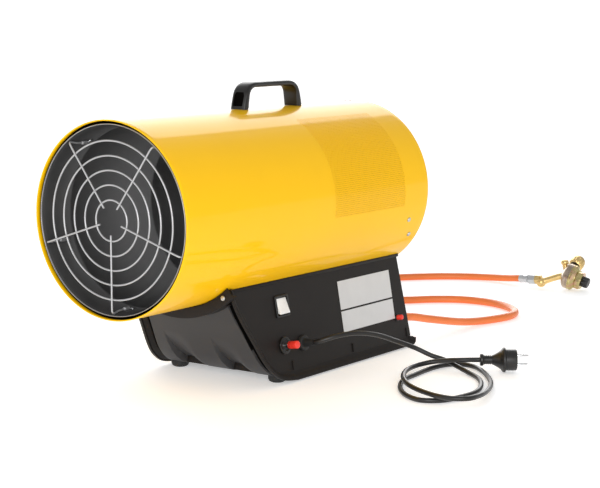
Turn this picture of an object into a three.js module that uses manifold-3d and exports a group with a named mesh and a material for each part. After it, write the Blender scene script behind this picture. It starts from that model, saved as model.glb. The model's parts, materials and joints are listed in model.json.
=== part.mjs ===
// Gas forced air heater: a yellow drum on a moulded base, with its fan, burner,
// controls, mains lead and gas hose. Millimetres, +Z up. The hot air leaves at -Y,
// the control panel faces +X, and the floor is z = 0.
import * as THREE from 'three';
import { mergeVertices } from 'three/addons/utils/BufferGeometryUtils.js';
import Module from 'manifold-3d';

const wasm = await Module();
wasm.setup();

// ---------------------------------------------------------------- driving dimensions

const GAP = 0.3;                 // clearance between touching pieces
const RUNNING_FIT = 0.08;        // radial clearance of a shaft or stem in its bore

// drum
const CASING_RADIUS = 150;
const CASING_LENGTH = 656;
const DRUM_CLEARANCE = 130;      // floor to the bottom of the drum
const AXIS_HEIGHT = DRUM_CLEARANCE + CASING_RADIUS;
const ROUND = CASING_RADIUS / 150;     // round pieces inside the drum grow with it
const CASING_WALL = 1.2;
const HEM_THICKNESS = 2;         // folded sheet at both ends
const HEM_LENGTH = 8;
const CHAMBER_RADIUS = CASING_RADIUS - 10;
const CHAMBER_LIP_RADIUS = CASING_RADIUS - 6.2;
const CHAMBER_WALL = 1.2;
const CHAMBER_FRONT = 4;         // behind the casing's front rim
const CHAMBER_END = CASING_LENGTH - 256;
const LIP_LENGTH = 4;
const LIP_CONE_END = 20;
const STAY_LENGTH = 26;          // Z brackets between chamber and casing
const STAY_WIDTH = 14;
const STAY_SHEET = 1.6;
const STAY_Y = CHAMBER_END - 60;
const STAY_ANGLES = [90, 210, 330];

// outlet grille
const WIRE = 3;                  // wire diameter
const GRILLE_RINGS = [30.8, 53.1, 74.8, 96.5, 118.8].map((radius) => radius * ROUND);
const GRILLE_Y = 6;
const SPOKE_INNER = 22;
const SPOKE_COUNT = 5;
const SPOKE_RETURN = 34;         // length that runs back along the chamber wall

// inlet guard
const GUARD_RINGS = [...[32, 60, 89, 118].map((radius) => radius * ROUND), CASING_RADIUS - 3.8];
const GUARD_SPOKES = 4;
const GUARD_Y = CASING_LENGTH - 6;
const GUARD_HUB_RADIUS = 14;

// fan and motor
const MOTOR_RADIUS = 42;
const MOTOR_FRONT = CASING_LENGTH - 111;
const MOTOR_LENGTH = 85;
const BEARING_BOSS_RADIUS = 13;
const BEARING_BOSS_LENGTH = 6;
const SHAFT_RADIUS = 4;
const SHAFT_FRONT = MOTOR_FRONT - 58;
const SHAFT_SEAT = 24;           // length inside the motor
const HUB_RADIUS = 17;
const HUB_LENGTH = 34;
const FAN_Y = SHAFT_FRONT + 27;
const FAN_TIP_RADIUS = CASING_RADIUS - 14;
const BLADE_COUNT = 5;
const BLADE_ROOT_CHORD = 44;
const BLADE_TIP_CHORD = 82;
const BLADE_THICKNESS = 1.8;
const BLADE_ROOT_PITCH = 40;     // degrees from the fan's plane
const BLADE_TIP_PITCH = 22;
const FAN_NUT_RADIUS = 8;
const FAN_NUT_LENGTH = 6;
const BRACKET_Y = MOTOR_FRONT + 39;
const BRACKET_WIDTH = 14;
const BRACKET_BAND = 4;
const ARM_WIDTH = 18;
const ARM_THICKNESS = 3;
const ARM_ANGLES = [90, 210, 330];

// burner
const BURNER_PLATE_Y = CHAMBER_END - 12;
const BURNER_PLATE_SHEET = 1.6;
const PLATE_AIR_HOLE_RADIUS = 13;
const PLATE_AIR_HOLE_CIRCLE = 102 * ROUND;
const PLATE_AIR_HOLES = 8;
const CUP_RADIUS = 44;
const CUP_FLANGE_RADIUS = 58;
const CUP_LENGTH = 56;
const CUP_SHEET = 1.4;
const CUP_PORT_RADIUS = 6;
const CUP_PORTS = 8;
const NOZZLE_RADIUS = 8;
const NOZZLE_LENGTH = 34;
const GAS_PIPE_RADIUS = 4;
const GAS_PIPE_Y = SHAFT_FRONT - 35;   // where the burner pipe drops through the casing
const PROBE_CIRCLE = 72;         // electrode and thermocouple, from the axis
const CERAMIC_RADIUS = 3.5;
const THERMOCOUPLE_RADIUS = 2.5;
const THERMOSTAT_RADIUS = 12;

// base
const LEAN_RUN = 27;             // the side panels lean in by this run ...
const LEAN_RISE = 157;           // ... over this rise
const PANEL_SHEET = 2.5;
const PANEL_TOP = 165;
const PANEL_INSET = 3.2826;       // the panel's top edge inside the drum's surface
const PANEL_TOP_X = Math.sqrt(CASING_RADIUS ** 2 - (AXIS_HEIGHT - PANEL_TOP) ** 2) - PANEL_INSET;
const PANEL_FOOT_X = PANEL_TOP_X + (LEAN_RUN / LEAN_RISE) * PANEL_TOP;   // outer face at floor level
const PANEL_BOTTOM = 2.5;
const RIM_PROUD = 9;             // the raised rim around the panel's front and bottom
const RIM_DEPTH = 13;
const SIDE_PROFILE = [           // front edge of the base, y from the front rim and height
  [162, 165], [166, 141], [180, 111], [199, 79], [218, 47], [236, 25], [262, 8.5], [300, 2.5],
];
const BASE_REAR_TOP = CASING_LENGTH - 16;
const BASE_REAR_BOTTOM = BASE_REAR_TOP + 13;
const RIM_REAR = BASE_REAR_BOTTOM + 4;
const COWL_SETBACK = 4;          // cowl face behind the rim
const COWL_WALL = 3;
const COWL_END = 262;
const SADDLE_BAND = 18;          // cradle under the drum, radial width
const SADDLE_FRONT = 150;
const SADDLE_LIP = 10;           // depth of its front lip, clear of the side panels
const SADDLE_DEPTH = 30;
const SADDLE_ANGLE = 42.7;       // its ends, from straight down
const SCOOP_INNER = 24;          // the cowl's two scooped recesses
const SCOOP_OUTER = 74;
const SCOOP_TOP = 74;
const SCOOP_DEPTH = 12;         // at the cowl's bottom edge
const PAN_SHEET = 1.5;
const TERMINAL_PITCH = 15;
const REAR_WALL_SHEET = 2;
const VENT_LENGTH = 100;         // slots in the rear wall
const VENT_LOW = 44;
const VENT_PITCH = 14;
const VENT_HEIGHT = 6;
const FOOT_RADIUS = 15;
const FOOT_HEIGHT = 12;
const FOOT_X = PANEL_FOOT_X - 20.4;
const FRONT_FOOT_Y = 280;
const REAR_FOOT_Y = BASE_REAR_BOTTOM + 2;
const OVERALL_LENGTH = REAR_FOOT_Y + FOOT_RADIUS;   // front rim to the back of the rear feet

// controls, y from the front rim and height along the leaning panel
const SWITCH_Y = 292;
const SWITCH_S = 122.8;
const SWITCH_SIZE = 35;
const SWITCH_FRAME_PROUD = 3;
const SWITCH_LIP = 1.5;          // frame face beyond the panel's window
const ROCKER_LENGTH = 26;
const ROCKER_WIDTH = 26;
const ROCKER_PROUD = 6.5;
const ROCKER_PIVOT = 1;          // pivot line outside the panel face
const ROCKER_PIN_RADIUS = 2;
const ROCKER_END_CLEARANCE = 1.2;
const ROCKER_SIDE_CLEARANCE = 0.5;
const VALVE_Y = 285;
const VALVE_S = 60;
const VALVE_HALF_LENGTH = 22;    // the valve's brass block, along y
const BEZEL_RADIUS = 14;
const BEZEL_PROUD = 4;
const STEM_RADIUS = 4;
const BUTTON_RADIUS = 6.25;
const BUTTON_LENGTH = 18;
const BUTTON_TRAVEL = 6;
const IGNITER_Y = BASE_REAR_TOP - 23.5;
const IGNITER_S = 55;
const IGNITER_COLLAR_RADIUS = 6.5;
const IGNITER_CAP_RADIUS = 4.5;
const IGNITER_CAP_LENGTH = 10;
const IGNITER_TRAVEL = 5;
const GLAND_Y = 335;
const GLAND_S = 56;
const GLAND_RADIUS = 13;
const GLAND_FLANGE = 5;
const RELIEF_LENGTH = 22;        // tapered strain relief beyond the panel face
const LABEL_Y = [BASE_REAR_TOP - 188, BASE_REAR_TOP - 30.5];    // blank plates
const LABEL_S = [54.5, 140.5];
const LABEL_SPLIT_S = 91;
const LABEL_SLOT = 3;
const LABEL_THICKNESS = 0.6;
const INLET_X = PANEL_FOOT_X - 33.4;              // gas inlet in the rear wall
const INLET_HEIGHT = 43;
const INLET_REACH = 20;          // from the rear wall to the hose end
const INLET_NUT_RADIUS = 11;

// carrying handle
const HANDLE_WIDTH = 30;
const HANDLE_WAIST = 26;
const HANDLE_LEGS = [319, 457.5];
const HANDLE_LEG_THICKNESS = 13;
const HANDLE_GRIP_THICKNESS = 9;
const HANDLE_TOP = 43.5;         // above the drum

// fasteners on the drum
const SCREW_HEAD_RADIUS = 4.2;
const SCREW_HEAD_HEIGHT = 2.4;
const SCREW_SHANK_RADIUS = 2;
const SCREW_PLACES = [[CASING_LENGTH - 50, -19.1], [CASING_LENGTH - 30, -31]];

// mains lead: centre line points x, y from the front rim, height
const LEAD_DIAMETER = 8;
const LEAD_SIDES = 6;
const LEAD_STEPS = 92;
const LEAD_ROUTE = [
  [148, 338, 63], [162, 351, 68.5], [179, 384, 71], [193, 431, 62], [206, 472, 46], [225, 498, 33],
  [248, 510, 21.5], [271, 518, 14.8], [296, 512, 9], [325, 498, 5.2], [358, 474, 4.2],
  [386, 435, 4.2], [404, 387, 4.2], [402, 344, 4.2], [388, 306, 4.2], [364, 291, 4.2],
  [332, 303, 4.2], [295, 341, 4.2], [268, 395, 4.2], [263, 439, 4.2], [260, 479, 4.2],
  [261, 511, 4.2], [268, 535, 4.2], [286, 549, 4.2], [310, 545, 4.2], [334, 527, 4.2],
  [362, 497, 4.2], [394, 452, 5], [423, 391, 9], [438, 339, 12.5], [436, 308, 13.6],
  [418, 294, 13.6], [395, 293, 13.8], [365, 306, 12.6], [337, 320, 12.6], [313, 335, 13.8],
  [287, 363, 14.4], [261, 406, 12], [244, 449, 9.5], [243, 480, 10], [257, 498, 13.5],
  [282, 508, 17.5], [306, 513, 20.3],
];

// plug, lying on its flange
const PLUG_AT = [329, 531];      // where the lead enters, x and y from the front rim
const PLUG_HEADING = 35;         // degrees from +X
const PLUG_ROLL = 30;
const PLUG_FLANGE_RADIUS = 20.5;
const PLUG_BODY_RADIUS = 17.5;
const PLUG_PIN_RADIUS = 2.4;
const PLUG_PIN_SPACING = 19;
const PLUG_PIN_LENGTH = 19;

// gas hose: centre line points x, y from the front rim, height
const HOSE_DIAMETER = 14.5;
const HOSE_SIDES = 8;
const HOSE_STEPS = 52;
const HOSE_ROUTE = [
  [91, 700, 40.5], [99, 744, 31], [108, 788, 22], [115, 837, 13], [125, 884, 8.2], [137, 925, 7.25],
  [145, 965, 7.25], [137, 1004, 7.25], [112, 1038, 7.25], [70, 1066, 7.25], [28, 1077, 7.25],
  [-25, 1071, 7.25], [-74, 1040, 7.25], [-112, 1000, 7.25], [-160, 974, 7.25],
  [-222, 972, 7.25], [-282, 1002, 7.25], [-324, 1056, 7.25], [-336, 1120, 7.25], [-313, 1187, 7.25],
  [-266, 1248, 7.25], [-212, 1300, 7.25], [-158, 1334, 7.4], [-105, 1344, 9], [-62, 1338, 12.4],
];
const HOSE_END = [-28, 1331, 16];

// regulator at the hose's far end
const HOSE_END_HEADING = -4;    // degrees from +X, where the hose meets its ferrule
const FERRULE_LENGTH = 18;
const FERRULE_RADIUS = 8.6;
const UNION_LENGTH = 16;
const UNION_RADIUS = 11;
const ELBOW_RADIUS = 13;
const STEM_PIPE_RADIUS = 7.5;
const REGULATOR_CENTRE = [87, 1347, 27.4];
const REGULATOR_HEADING = 8;     // bell axis, degrees from +X
const REGULATOR_DIP = 17;        // bell axis, degrees below the horizontal
const BELL_RADIUS = 27;
const BELL_DEPTH = 20;
const BONNET_RADIUS = 17;        // hexagonal bonnet in front of the bell
const BONNET_END = 22;
const SPINDLE_RADIUS = 4;
const SPINDLE_REACH = 8;
const KNOB_RADIUS = 11.5;
const KNOB_LENGTH = 16;
const NECK_RADIUS = 8;
const NECK_LENGTH = 57;
const NECK_BACK = 10;            // the neck's axis behind the bell's face
const HAND_NUT_RADIUS = 15.5;
const HAND_NUT_LENGTH = 24;
const HAND_NUT_START = 36;
const POST_HEIGHT = 26;

// ---------------------------------------------------------------- derived values

const FRONT_Y = -OVERALL_LENGTH / 2;
const VALVE_REAR = VALVE_Y + VALVE_HALF_LENGTH;
const CASING_INNER = CASING_RADIUS - CASING_WALL;
const HEM_INNER = CASING_RADIUS - HEM_THICKNESS;
const CHAMBER_INNER = CHAMBER_RADIUS - CHAMBER_WALL;
const SLOPE = LEAN_RUN / LEAN_RISE;
const LEAN = Math.atan(SLOPE);
const DRUM_CUT = CASING_RADIUS + GAP;
const DRUM_SIDES = 72;
const DEG = Math.PI / 180;

// ---------------------------------------------------------------- finishes

const finish = (color, roughness, metalness) =>
  new THREE.MeshStandardMaterial({ color, roughness, metalness });

const yellowEnamel = finish(0xfdc319, 0.35, 0.1);
const chamberSteel = finish(0x4a4a4c, 0.6, 0.8);
const zincWire = finish(0xd9dadb, 0.35, 0.9);
const plainSteel = finish(0x9a9c9f, 0.4, 0.9);
const motorCast = finish(0x8d9093, 0.55, 0.7);
const fanAluminium = finish(0xb6b9bc, 0.4, 0.9);
const brass = finish(0xc9a24b, 0.35, 0.9);
const blackPlastic = finish(0x1f1d1c, 0.55, 0);
const greyPlastic = finish(0x4d4b4a, 0.5, 0);
const blackPaint = finish(0x302b29, 0.5, 0.2);
const blackRubber = finish(0x232221, 0.8, 0);
const whitePlastic = finish(0xf3f3f1, 0.35, 0);
const redPlastic = finish(0xf2402f, 0.4, 0);
const labelWhite = finish(0xdadada, 0.45, 0);
const hoseOrange = finish(0xf27a3a, 0.5, 0);
const chrome = finish(0xe6e7e8, 0.12, 1);
const ceramicWhite = finish(0xece8df, 0.3, 0);

// ---------------------------------------------------------------- shape helpers

// A BufferGeometry as a solid, with its faces turned to point outwards.
function solid(shape) {
  if (shape instanceof wasm.Manifold) return shape;
  let bare = shape.clone();
  bare.deleteAttribute('normal');
  bare.deleteAttribute('uv');
  bare = mergeVertices(bare, 1e-4);
  const position = bare.attributes.position;
  const index = bare.index.array;
  const triangles = [];
  for (let i = 0; i < index.length; i += 3) {
    const [a, b, c] = index.slice(i, i + 3);
    if (a !== b && b !== c && a !== c) triangles.push([a, b, c]);
  }
  const corner = (i) => new THREE.Vector3().fromBufferAttribute(position, i);
  const volume = triangles.reduce(
    (sum, [a, b, c]) => sum + corner(a).dot(corner(b).cross(corner(c))), 0);
  const ordered = volume < 0 ? triangles.map(([a, b, c]) => [a, c, b]) : triangles;
  return new wasm.Manifold(new wasm.Mesh({
    numProp: 3,
    vertProperties: new Float32Array(position.array),
    triVerts: new Uint32Array(ordered.flat()),
  }));
}

const join = (first, ...others) => others.reduce((sum, each) => sum.add(solid(each)), solid(first));
const cut = (first, ...others) => others.reduce((rest, each) => rest.subtract(solid(each)), solid(first));
const clip = (first, second) => solid(first).intersect(solid(second));

function geometryOf(shape) {
  const { vertProperties, triVerts } = solid(shape).getMesh();
  const geometry = new THREE.BufferGeometry();
  geometry.setAttribute('position', new THREE.BufferAttribute(new Float32Array(vertProperties), 3));
  geometry.setIndex(new THREE.BufferAttribute(new Uint32Array(triVerts), 1));
  geometry.computeVertexNormals();
  return geometry;
}

const vec = (x, y, z) => new THREE.Vector3(x, y, z);

// A closed profile of [radius, y] points turned about the Y axis.
function turned(profile, segments) {
  const points = profile.map(([radius, y]) => new THREE.Vector2(radius, y));
  const open = profile[0][0] === 0 && profile.at(-1)[0] === 0;
  if (!open) points.push(points[0].clone());
  return new THREE.LatheGeometry(points, segments);
}

function disc(radius, from, to, segments = 32) {
  return turned([[0, from], [radius, from], [radius, to], [0, to]], segments);
}

function tubeRing(outer, inner, from, to, segments = 32) {
  return turned([[outer, from], [outer, to], [inner, to], [inner, from]], segments);
}

function box(x0, x1, y0, y1, z0, z1) {
  return new THREE.BoxGeometry(x1 - x0, y1 - y0, z1 - z0)
    .translate((x0 + x1) / 2, (y0 + y1) / 2, (z0 + z1) / 2);
}

// A shape turned about Y, pointed from one place towards another.
function pointed(shape, from, towards) {
  const turn = new THREE.Quaternion().setFromUnitVectors(
    vec(0, 1, 0), towards.clone().sub(from).normalize());
  return shape.applyQuaternion(turn).translate(from.x, from.y, from.z);
}

function rod(radius, from, to, sides = 12) {
  return pointed(disc(radius, 0, from.distanceTo(to), sides), from, to);
}

function flat(points, depth) {
  const shape = new THREE.Shape(points.map(([x, y]) => new THREE.Vector2(x, y)));
  return new THREE.ExtrudeGeometry(shape, { depth, bevelEnabled: false });
}

// Points [y, z] extruded along X, from x0 to x1.
function acrossX(points, x0, x1) {
  const toYZ = new THREE.Matrix4().makeBasis(vec(0, 1, 0), vec(0, 0, 1), vec(1, 0, 0));
  return flat(points, x1 - x0).applyMatrix4(toYZ).translate(x0, 0, 0);
}

// Points [x, z] extruded along Y, from y0 to y1.
function acrossY(points, y0, y1) {
  const toXZ = new THREE.Matrix4().makeBasis(vec(1, 0, 0), vec(0, 0, 1), vec(0, -1, 0));
  return flat(points, y1 - y0).applyMatrix4(toXZ).translate(0, y1, 0);
}

function polygonSection(radius, sides) {
  const section = new THREE.Shape();
  for (let i = 0; i < sides; i += 1) {
    const angle = (2 * Math.PI * (i + 0.5)) / sides;
    const method = i === 0 ? 'moveTo' : 'lineTo';
    section[method](radius * Math.cos(angle), radius * Math.sin(angle));
  }
  return section;
}

function tube(curve, radius, sides, steps) {
  return new THREE.ExtrudeGeometry(polygonSection(radius, sides), {
    steps, bevelEnabled: false, extrudePath: curve,
  });
}

const smooth = (points) => new THREE.CatmullRomCurve3(points.map((p) => vec(...p)), false, 'centripetal');

// Equal closed loops of points, joined into one skin and closed at both ends.
function skin(loops, section) {
  const count = section.length;
  const positions = loops.flat().flatMap((p) => [p.x, p.y, p.z]);
  const index = [];
  for (let i = 0; i + 1 < loops.length; i += 1) {
    for (let j = 0; j < count; j += 1) {
      const a = i * count + j;
      const b = i * count + ((j + 1) % count);
      index.push(a, b, b + count, a, b + count, a + count);
    }
  }
  const end = (loops.length - 1) * count;
  const sectionPoints = section.map(([x, y]) => new THREE.Vector2(x, y));
  const clockwise = THREE.ShapeUtils.isClockWise(sectionPoints);
  THREE.ShapeUtils.triangulateShape(sectionPoints, []).forEach(([a, b, c]) => {
    if (clockwise) index.push(a, b, c, end + a, end + c, end + b);
    else index.push(a, c, b, end + a, end + b, end + c);
  });
  const geometry = new THREE.BufferGeometry();
  geometry.setAttribute('position', new THREE.Float32BufferAttribute(positions, 3));
  geometry.setIndex(index);
  return geometry;
}

// The same shape on the other side of the x = 0 plane.
function mirrored(shape) {
  const { vertProperties, triVerts } = solid(shape).getMesh();
  const positions = vertProperties.map((value, i) => (i % 3 === 0 ? -value : value));
  const index = [];
  for (let i = 0; i < triVerts.length; i += 3) {
    index.push(triVerts[i], triVerts[i + 2], triVerts[i + 1]);
  }
  const geometry = new THREE.BufferGeometry();
  geometry.setAttribute('position', new THREE.BufferAttribute(positions, 3));
  geometry.setIndex(index);
  return geometry;
}

// A closed band [y, z] of the points moved inwards along the outline's normals.
function inset(points, distance) {
  return points.map(([y, z], i) => {
    const before = points[Math.max(i - 1, 0)];
    const after = points[Math.min(i + 1, points.length - 1)];
    const along = new THREE.Vector2(after[0] - before[0], after[1] - before[1]).normalize();
    return [y - along.y * distance, z + along.x * distance];
  });
}

const group = (parent, x = 0, y = 0, z = 0) => {
  const node = new THREE.Group();
  node.position.set(x, y, z);
  parent.add(node);
  return node;
};

function piece(parent, name, shape, material) {
  const mesh = new THREE.Mesh(geometryOf(shape), material);
  mesh.name = name;
  parent.add(mesh);
  return mesh;
}

// ---------------------------------------------------------------- assembly frames

const heater = new THREE.Group();
const base = group(heater, 0, FRONT_Y, 0);              // y from the front rim, z from the floor
const drum = group(heater, 0, FRONT_Y, AXIS_HEIGHT);    // y from the front rim, on the axis
const leads = group(heater, 0, FRONT_Y, 0);

// local x is out of the leaning panel, local y along the drum, local z up the panel
function panelFrame(y, s) {
  const frame = group(base, PANEL_FOOT_X - s * Math.sin(LEAN), y, s * Math.cos(LEAN));
  frame.rotation.y = -LEAN;
  return frame;
}

const panelX = (height, out = 0) => PANEL_FOOT_X - height * SLOPE + out / Math.cos(LEAN);
const drumCutter = () => disc(DRUM_CUT, -50, CASING_LENGTH + 50, DRUM_SIDES).translate(0, 0, AXIS_HEIGHT);

// ---------------------------------------------------------------- drum

function outerCasing() {
  const profile = [
    [CASING_RADIUS, 0], [CASING_RADIUS, CASING_LENGTH],
    [HEM_INNER, CASING_LENGTH], [HEM_INNER, CASING_LENGTH - HEM_LENGTH],
    [CASING_INNER, CASING_LENGTH - HEM_LENGTH], [CASING_INNER, HEM_LENGTH],
    [HEM_INNER, HEM_LENGTH], [HEM_INNER, 0],
  ];
  const pipeHole = rod(GAS_PIPE_RADIUS + 4, vec(0, GAS_PIPE_Y, -CASING_RADIUS - 10), vec(0, GAS_PIPE_Y, 50 - CASING_RADIUS));
  const screwHoles = [1, -1].flatMap((side) => SCREW_PLACES.map(([y, angle]) => {
    const out = vec(side * Math.cos(angle * DEG), 0, Math.sin(angle * DEG));
    const at = vec(0, y, 0);
    return rod(SCREW_SHANK_RADIUS + GAP, at.clone().addScaledVector(out, CASING_RADIUS - 30),
      at.clone().addScaledVector(out, CASING_RADIUS + 10), 6);
  }));
  return cut(turned(profile, DRUM_SIDES), pipeHole, ...screwHoles);
}

function combustionChamber() {
  const outer = [
    [CHAMBER_LIP_RADIUS, CHAMBER_FRONT], [CHAMBER_LIP_RADIUS, CHAMBER_FRONT + LIP_LENGTH],
    [CHAMBER_RADIUS, LIP_CONE_END], [CHAMBER_RADIUS, CHAMBER_END],
  ];
  const inner = outer.map(([radius, y]) => [radius - CHAMBER_WALL, y]).reverse();
  return turned([...outer, ...inner], 54);
}

function chamberStay(angle) {
  const low = CHAMBER_RADIUS + GAP;
  const high = CASING_INNER - GAP - 0.3;
  const third = STAY_LENGTH / 3;
  const step = [
    [0, low], [third + STAY_SHEET, low], [third + STAY_SHEET, high - STAY_SHEET],
    [STAY_LENGTH, high - STAY_SHEET], [STAY_LENGTH, high], [third, high],
    [third, low + STAY_SHEET], [0, low + STAY_SHEET],
  ];
  const bracket = acrossX(step, -STAY_WIDTH / 2, STAY_WIDTH / 2).translate(0, STAY_Y, 0);
  const room = tubeRing(CASING_INNER - GAP, CHAMBER_RADIUS + GAP, STAY_Y - 5, STAY_Y + STAY_LENGTH + 5, 72);
  return clip(bracket.rotateY((90 - angle) * DEG), room);
}

function ring(radius, y, segments, sides) {
  return new THREE.TorusGeometry(radius, WIRE / 2, sides, segments).rotateX(Math.PI / 2).translate(0, y, 0);
}

// A wire through points [distance from the axis, y], at an angle about the axis.
function radialWire(points, angle, sides) {
  const section = Array.from({ length: sides }, (_, i) => {
    const turn = (2 * Math.PI * (i + 0.5)) / sides;
    return [(WIRE / 2) * Math.cos(turn), (WIRE / 2) * Math.sin(turn)];
  });
  const loops = points.map(([radius, y], i) => {
    const before = points[Math.max(i - 1, 0)];
    const after = points[Math.min(i + 1, points.length - 1)];
    const tangent = new THREE.Vector2(after[0] - before[0], after[1] - before[1]).normalize();
    return section.map(([across, lift]) => vec(radius - tangent.y * lift, y + tangent.x * lift, across)
      .applyAxisAngle(vec(0, 1, 0), -angle));
  });
  return skin(loops, section);
}

function frontGrille() {
  const rings = GRILLE_RINGS.map((radius) => ring(radius, GRILLE_Y, 12 + Math.round(radius / 5), 4));
  const reach = CHAMBER_INNER - GAP - WIRE / 2 - 0.3;
  const y = GRILLE_Y + WIRE * 0.6;
  const bend = WIRE * 1.8;
  const line = [[SPOKE_INNER, y], [reach - bend, y], [reach - bend * 0.3, y + bend * 0.3], [reach, y + bend],
    [reach, y + SPOKE_RETURN]];
  const spokes = Array.from({ length: SPOKE_COUNT }, (_, i) =>
    radialWire(line, (-90 + (360 / SPOKE_COUNT) * i) * DEG, 4));
  return join(...rings, ...spokes);
}

function rearGuard() {
  const rings = GUARD_RINGS.map((radius) => ring(radius, GUARD_Y, 10 + Math.round(radius / 7), 4));
  const y = GUARD_Y - WIRE * 0.5;
  const spokes = Array.from({ length: GUARD_SPOKES }, (_, i) =>
    radialWire([[GUARD_HUB_RADIUS - 4, y], [GUARD_RINGS.at(-1), y]], (360 / GUARD_SPOKES) * i * DEG, 4));
  const hub = disc(GUARD_HUB_RADIUS, GUARD_Y - WIRE, GUARD_Y, 20);
  return join(hub, ...rings, ...spokes);
}

function fanMotor() {
  const back = MOTOR_FRONT + MOTOR_LENGTH;
  const shoulder = 6;
  const profile = [
    [0, MOTOR_FRONT - BEARING_BOSS_LENGTH], [BEARING_BOSS_RADIUS, MOTOR_FRONT - BEARING_BOSS_LENGTH],
    [BEARING_BOSS_RADIUS, MOTOR_FRONT], [MOTOR_RADIUS - shoulder, MOTOR_FRONT],
    [MOTOR_RADIUS, MOTOR_FRONT + shoulder], [MOTOR_RADIUS, back - shoulder],
    [MOTOR_RADIUS - shoulder, back], [BEARING_BOSS_RADIUS, back],
    [BEARING_BOSS_RADIUS, back + BEARING_BOSS_LENGTH], [0, back + BEARING_BOSS_LENGTH],
  ];
  const bore = disc(SHAFT_RADIUS + RUNNING_FIT, SHAFT_FRONT, MOTOR_FRONT + SHAFT_SEAT, 24);
  return cut(turned(profile, 24), bore);
}

function motorBracket() {
  const inner = MOTOR_RADIUS + GAP;
  const band = tubeRing(inner + BRACKET_BAND, inner, BRACKET_Y, BRACKET_Y + BRACKET_WIDTH, 36);
  const reach = CASING_INNER - GAP;
  const arms = ARM_ANGLES.flatMap((angle) => {
    const start = inner + BRACKET_BAND / 2;
    const arm = box(start, reach, BRACKET_Y, BRACKET_Y + ARM_THICKNESS, -ARM_WIDTH / 2, ARM_WIDTH / 2);
    const tab = box(reach - ARM_THICKNESS - 1, reach + 1, BRACKET_Y, BRACKET_Y + BRACKET_WIDTH,
      -ARM_WIDTH / 2, ARM_WIDTH / 2);
    return [arm.rotateY(-angle * DEG), tab.rotateY(-angle * DEG)];
  });
  return clip(join(band, ...arms), disc(reach, BRACKET_Y - 1, BRACKET_Y + BRACKET_WIDTH + 1, DRUM_SIDES));
}

function motorShaft() {
  return disc(SHAFT_RADIUS, SHAFT_FRONT, MOTOR_FRONT + SHAFT_SEAT - 1, 24);
}

function fanBlade(turn) {
  const stations = 4;
  const root = HUB_RADIUS - 5;
  const upper = [[-0.5, 0], [-0.2, 0.09], [0.2, 0.09], [0.5, 0]];
  const outline = [...upper.map(([u, camber]) => [u, camber, 1]),
    ...upper.map(([u, camber]) => [u, camber, -1]).reverse()];
  const loops = Array.from({ length: stations + 1 }, (_, i) => {
    const share = i / stations;
    const radius = root + share * (FAN_TIP_RADIUS - root);
    const chord = BLADE_ROOT_CHORD + share * (BLADE_TIP_CHORD - BLADE_ROOT_CHORD);
    const pitch = (BLADE_ROOT_PITCH + share * (BLADE_TIP_PITCH - BLADE_ROOT_PITCH)) * DEG;
    const spread = i === 0 ? 0.3 : Math.min(1, 2 * share + 0.2);
    return outline.map(([u, camber, side]) => {
      const run = u * chord;
      const lift = camber * chord + (side * BLADE_THICKNESS) / 2;
      const tangent = run * Math.cos(pitch) - lift * Math.sin(pitch);
      const axial = run * Math.sin(pitch) + lift * Math.cos(pitch);
      const angle = turn + (tangent / radius) * spread;
      return vec(radius * Math.cos(angle), FAN_Y + axial, radius * Math.sin(angle));
    });
  });
  return skin(loops, outline.map(([u, camber, side]) => [u * 50, camber * 50 + side]));
}

function fanImpeller() {
  const from = FAN_Y - HUB_LENGTH / 2;
  const hub = disc(HUB_RADIUS, from, from + HUB_LENGTH, 30);
  const blades = Array.from({ length: BLADE_COUNT }, (_, i) => fanBlade((2 * Math.PI * i) / BLADE_COUNT));
  const bore = disc(SHAFT_RADIUS + GAP, from - 30, from + HUB_LENGTH + 30, 24);
  return cut(join(hub, ...blades), bore);
}

function hexagon(radius, from, to) {
  return disc(radius, from, to, 6);
}

function fanNut() {
  const back = FAN_Y - HUB_LENGTH / 2 - GAP;
  return cut(hexagon(FAN_NUT_RADIUS, back - FAN_NUT_LENGTH, back),
    disc(SHAFT_RADIUS + GAP, back - 20, back + 5, 24));
}

// ---------------------------------------------------------------- burner

const probeAt = (side, y) => vec(side * PROBE_CIRCLE * Math.SQRT1_2, y, PROBE_CIRCLE * Math.SQRT1_2);

function burnerPlate() {
  const back = BURNER_PLATE_Y + BURNER_PLATE_SHEET;
  const plate = disc(CHAMBER_INNER - GAP - 0.3, BURNER_PLATE_Y, back, 40);
  const holes = Array.from({ length: PLATE_AIR_HOLES }, (_, i) => {
    const angle = (360 / PLATE_AIR_HOLES) * (i + 0.5) * DEG;
    return disc(PLATE_AIR_HOLE_RADIUS, BURNER_PLATE_Y - 5, back + 5, 10).translate(
      PLATE_AIR_HOLE_CIRCLE * Math.cos(angle), 0, PLATE_AIR_HOLE_CIRCLE * Math.sin(angle));
  });
  const throat = disc(CUP_RADIUS - CUP_SHEET - 4, BURNER_PLATE_Y - 5, back + 5, 24);
  const electrodeHole = disc(CERAMIC_RADIUS + GAP, BURNER_PLATE_Y - 5, back + 5, 16);
  electrodeHole.translate(probeAt(1, 0).x, 0, probeAt(1, 0).z);
  const thermocoupleHole = disc(THERMOCOUPLE_RADIUS + GAP, BURNER_PLATE_Y - 5, back + 5, 12);
  thermocoupleHole.translate(probeAt(-1, 0).x, 0, probeAt(-1, 0).z);
  return cut(plate, ...holes, throat, electrodeHole, thermocoupleHole);
}

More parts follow.
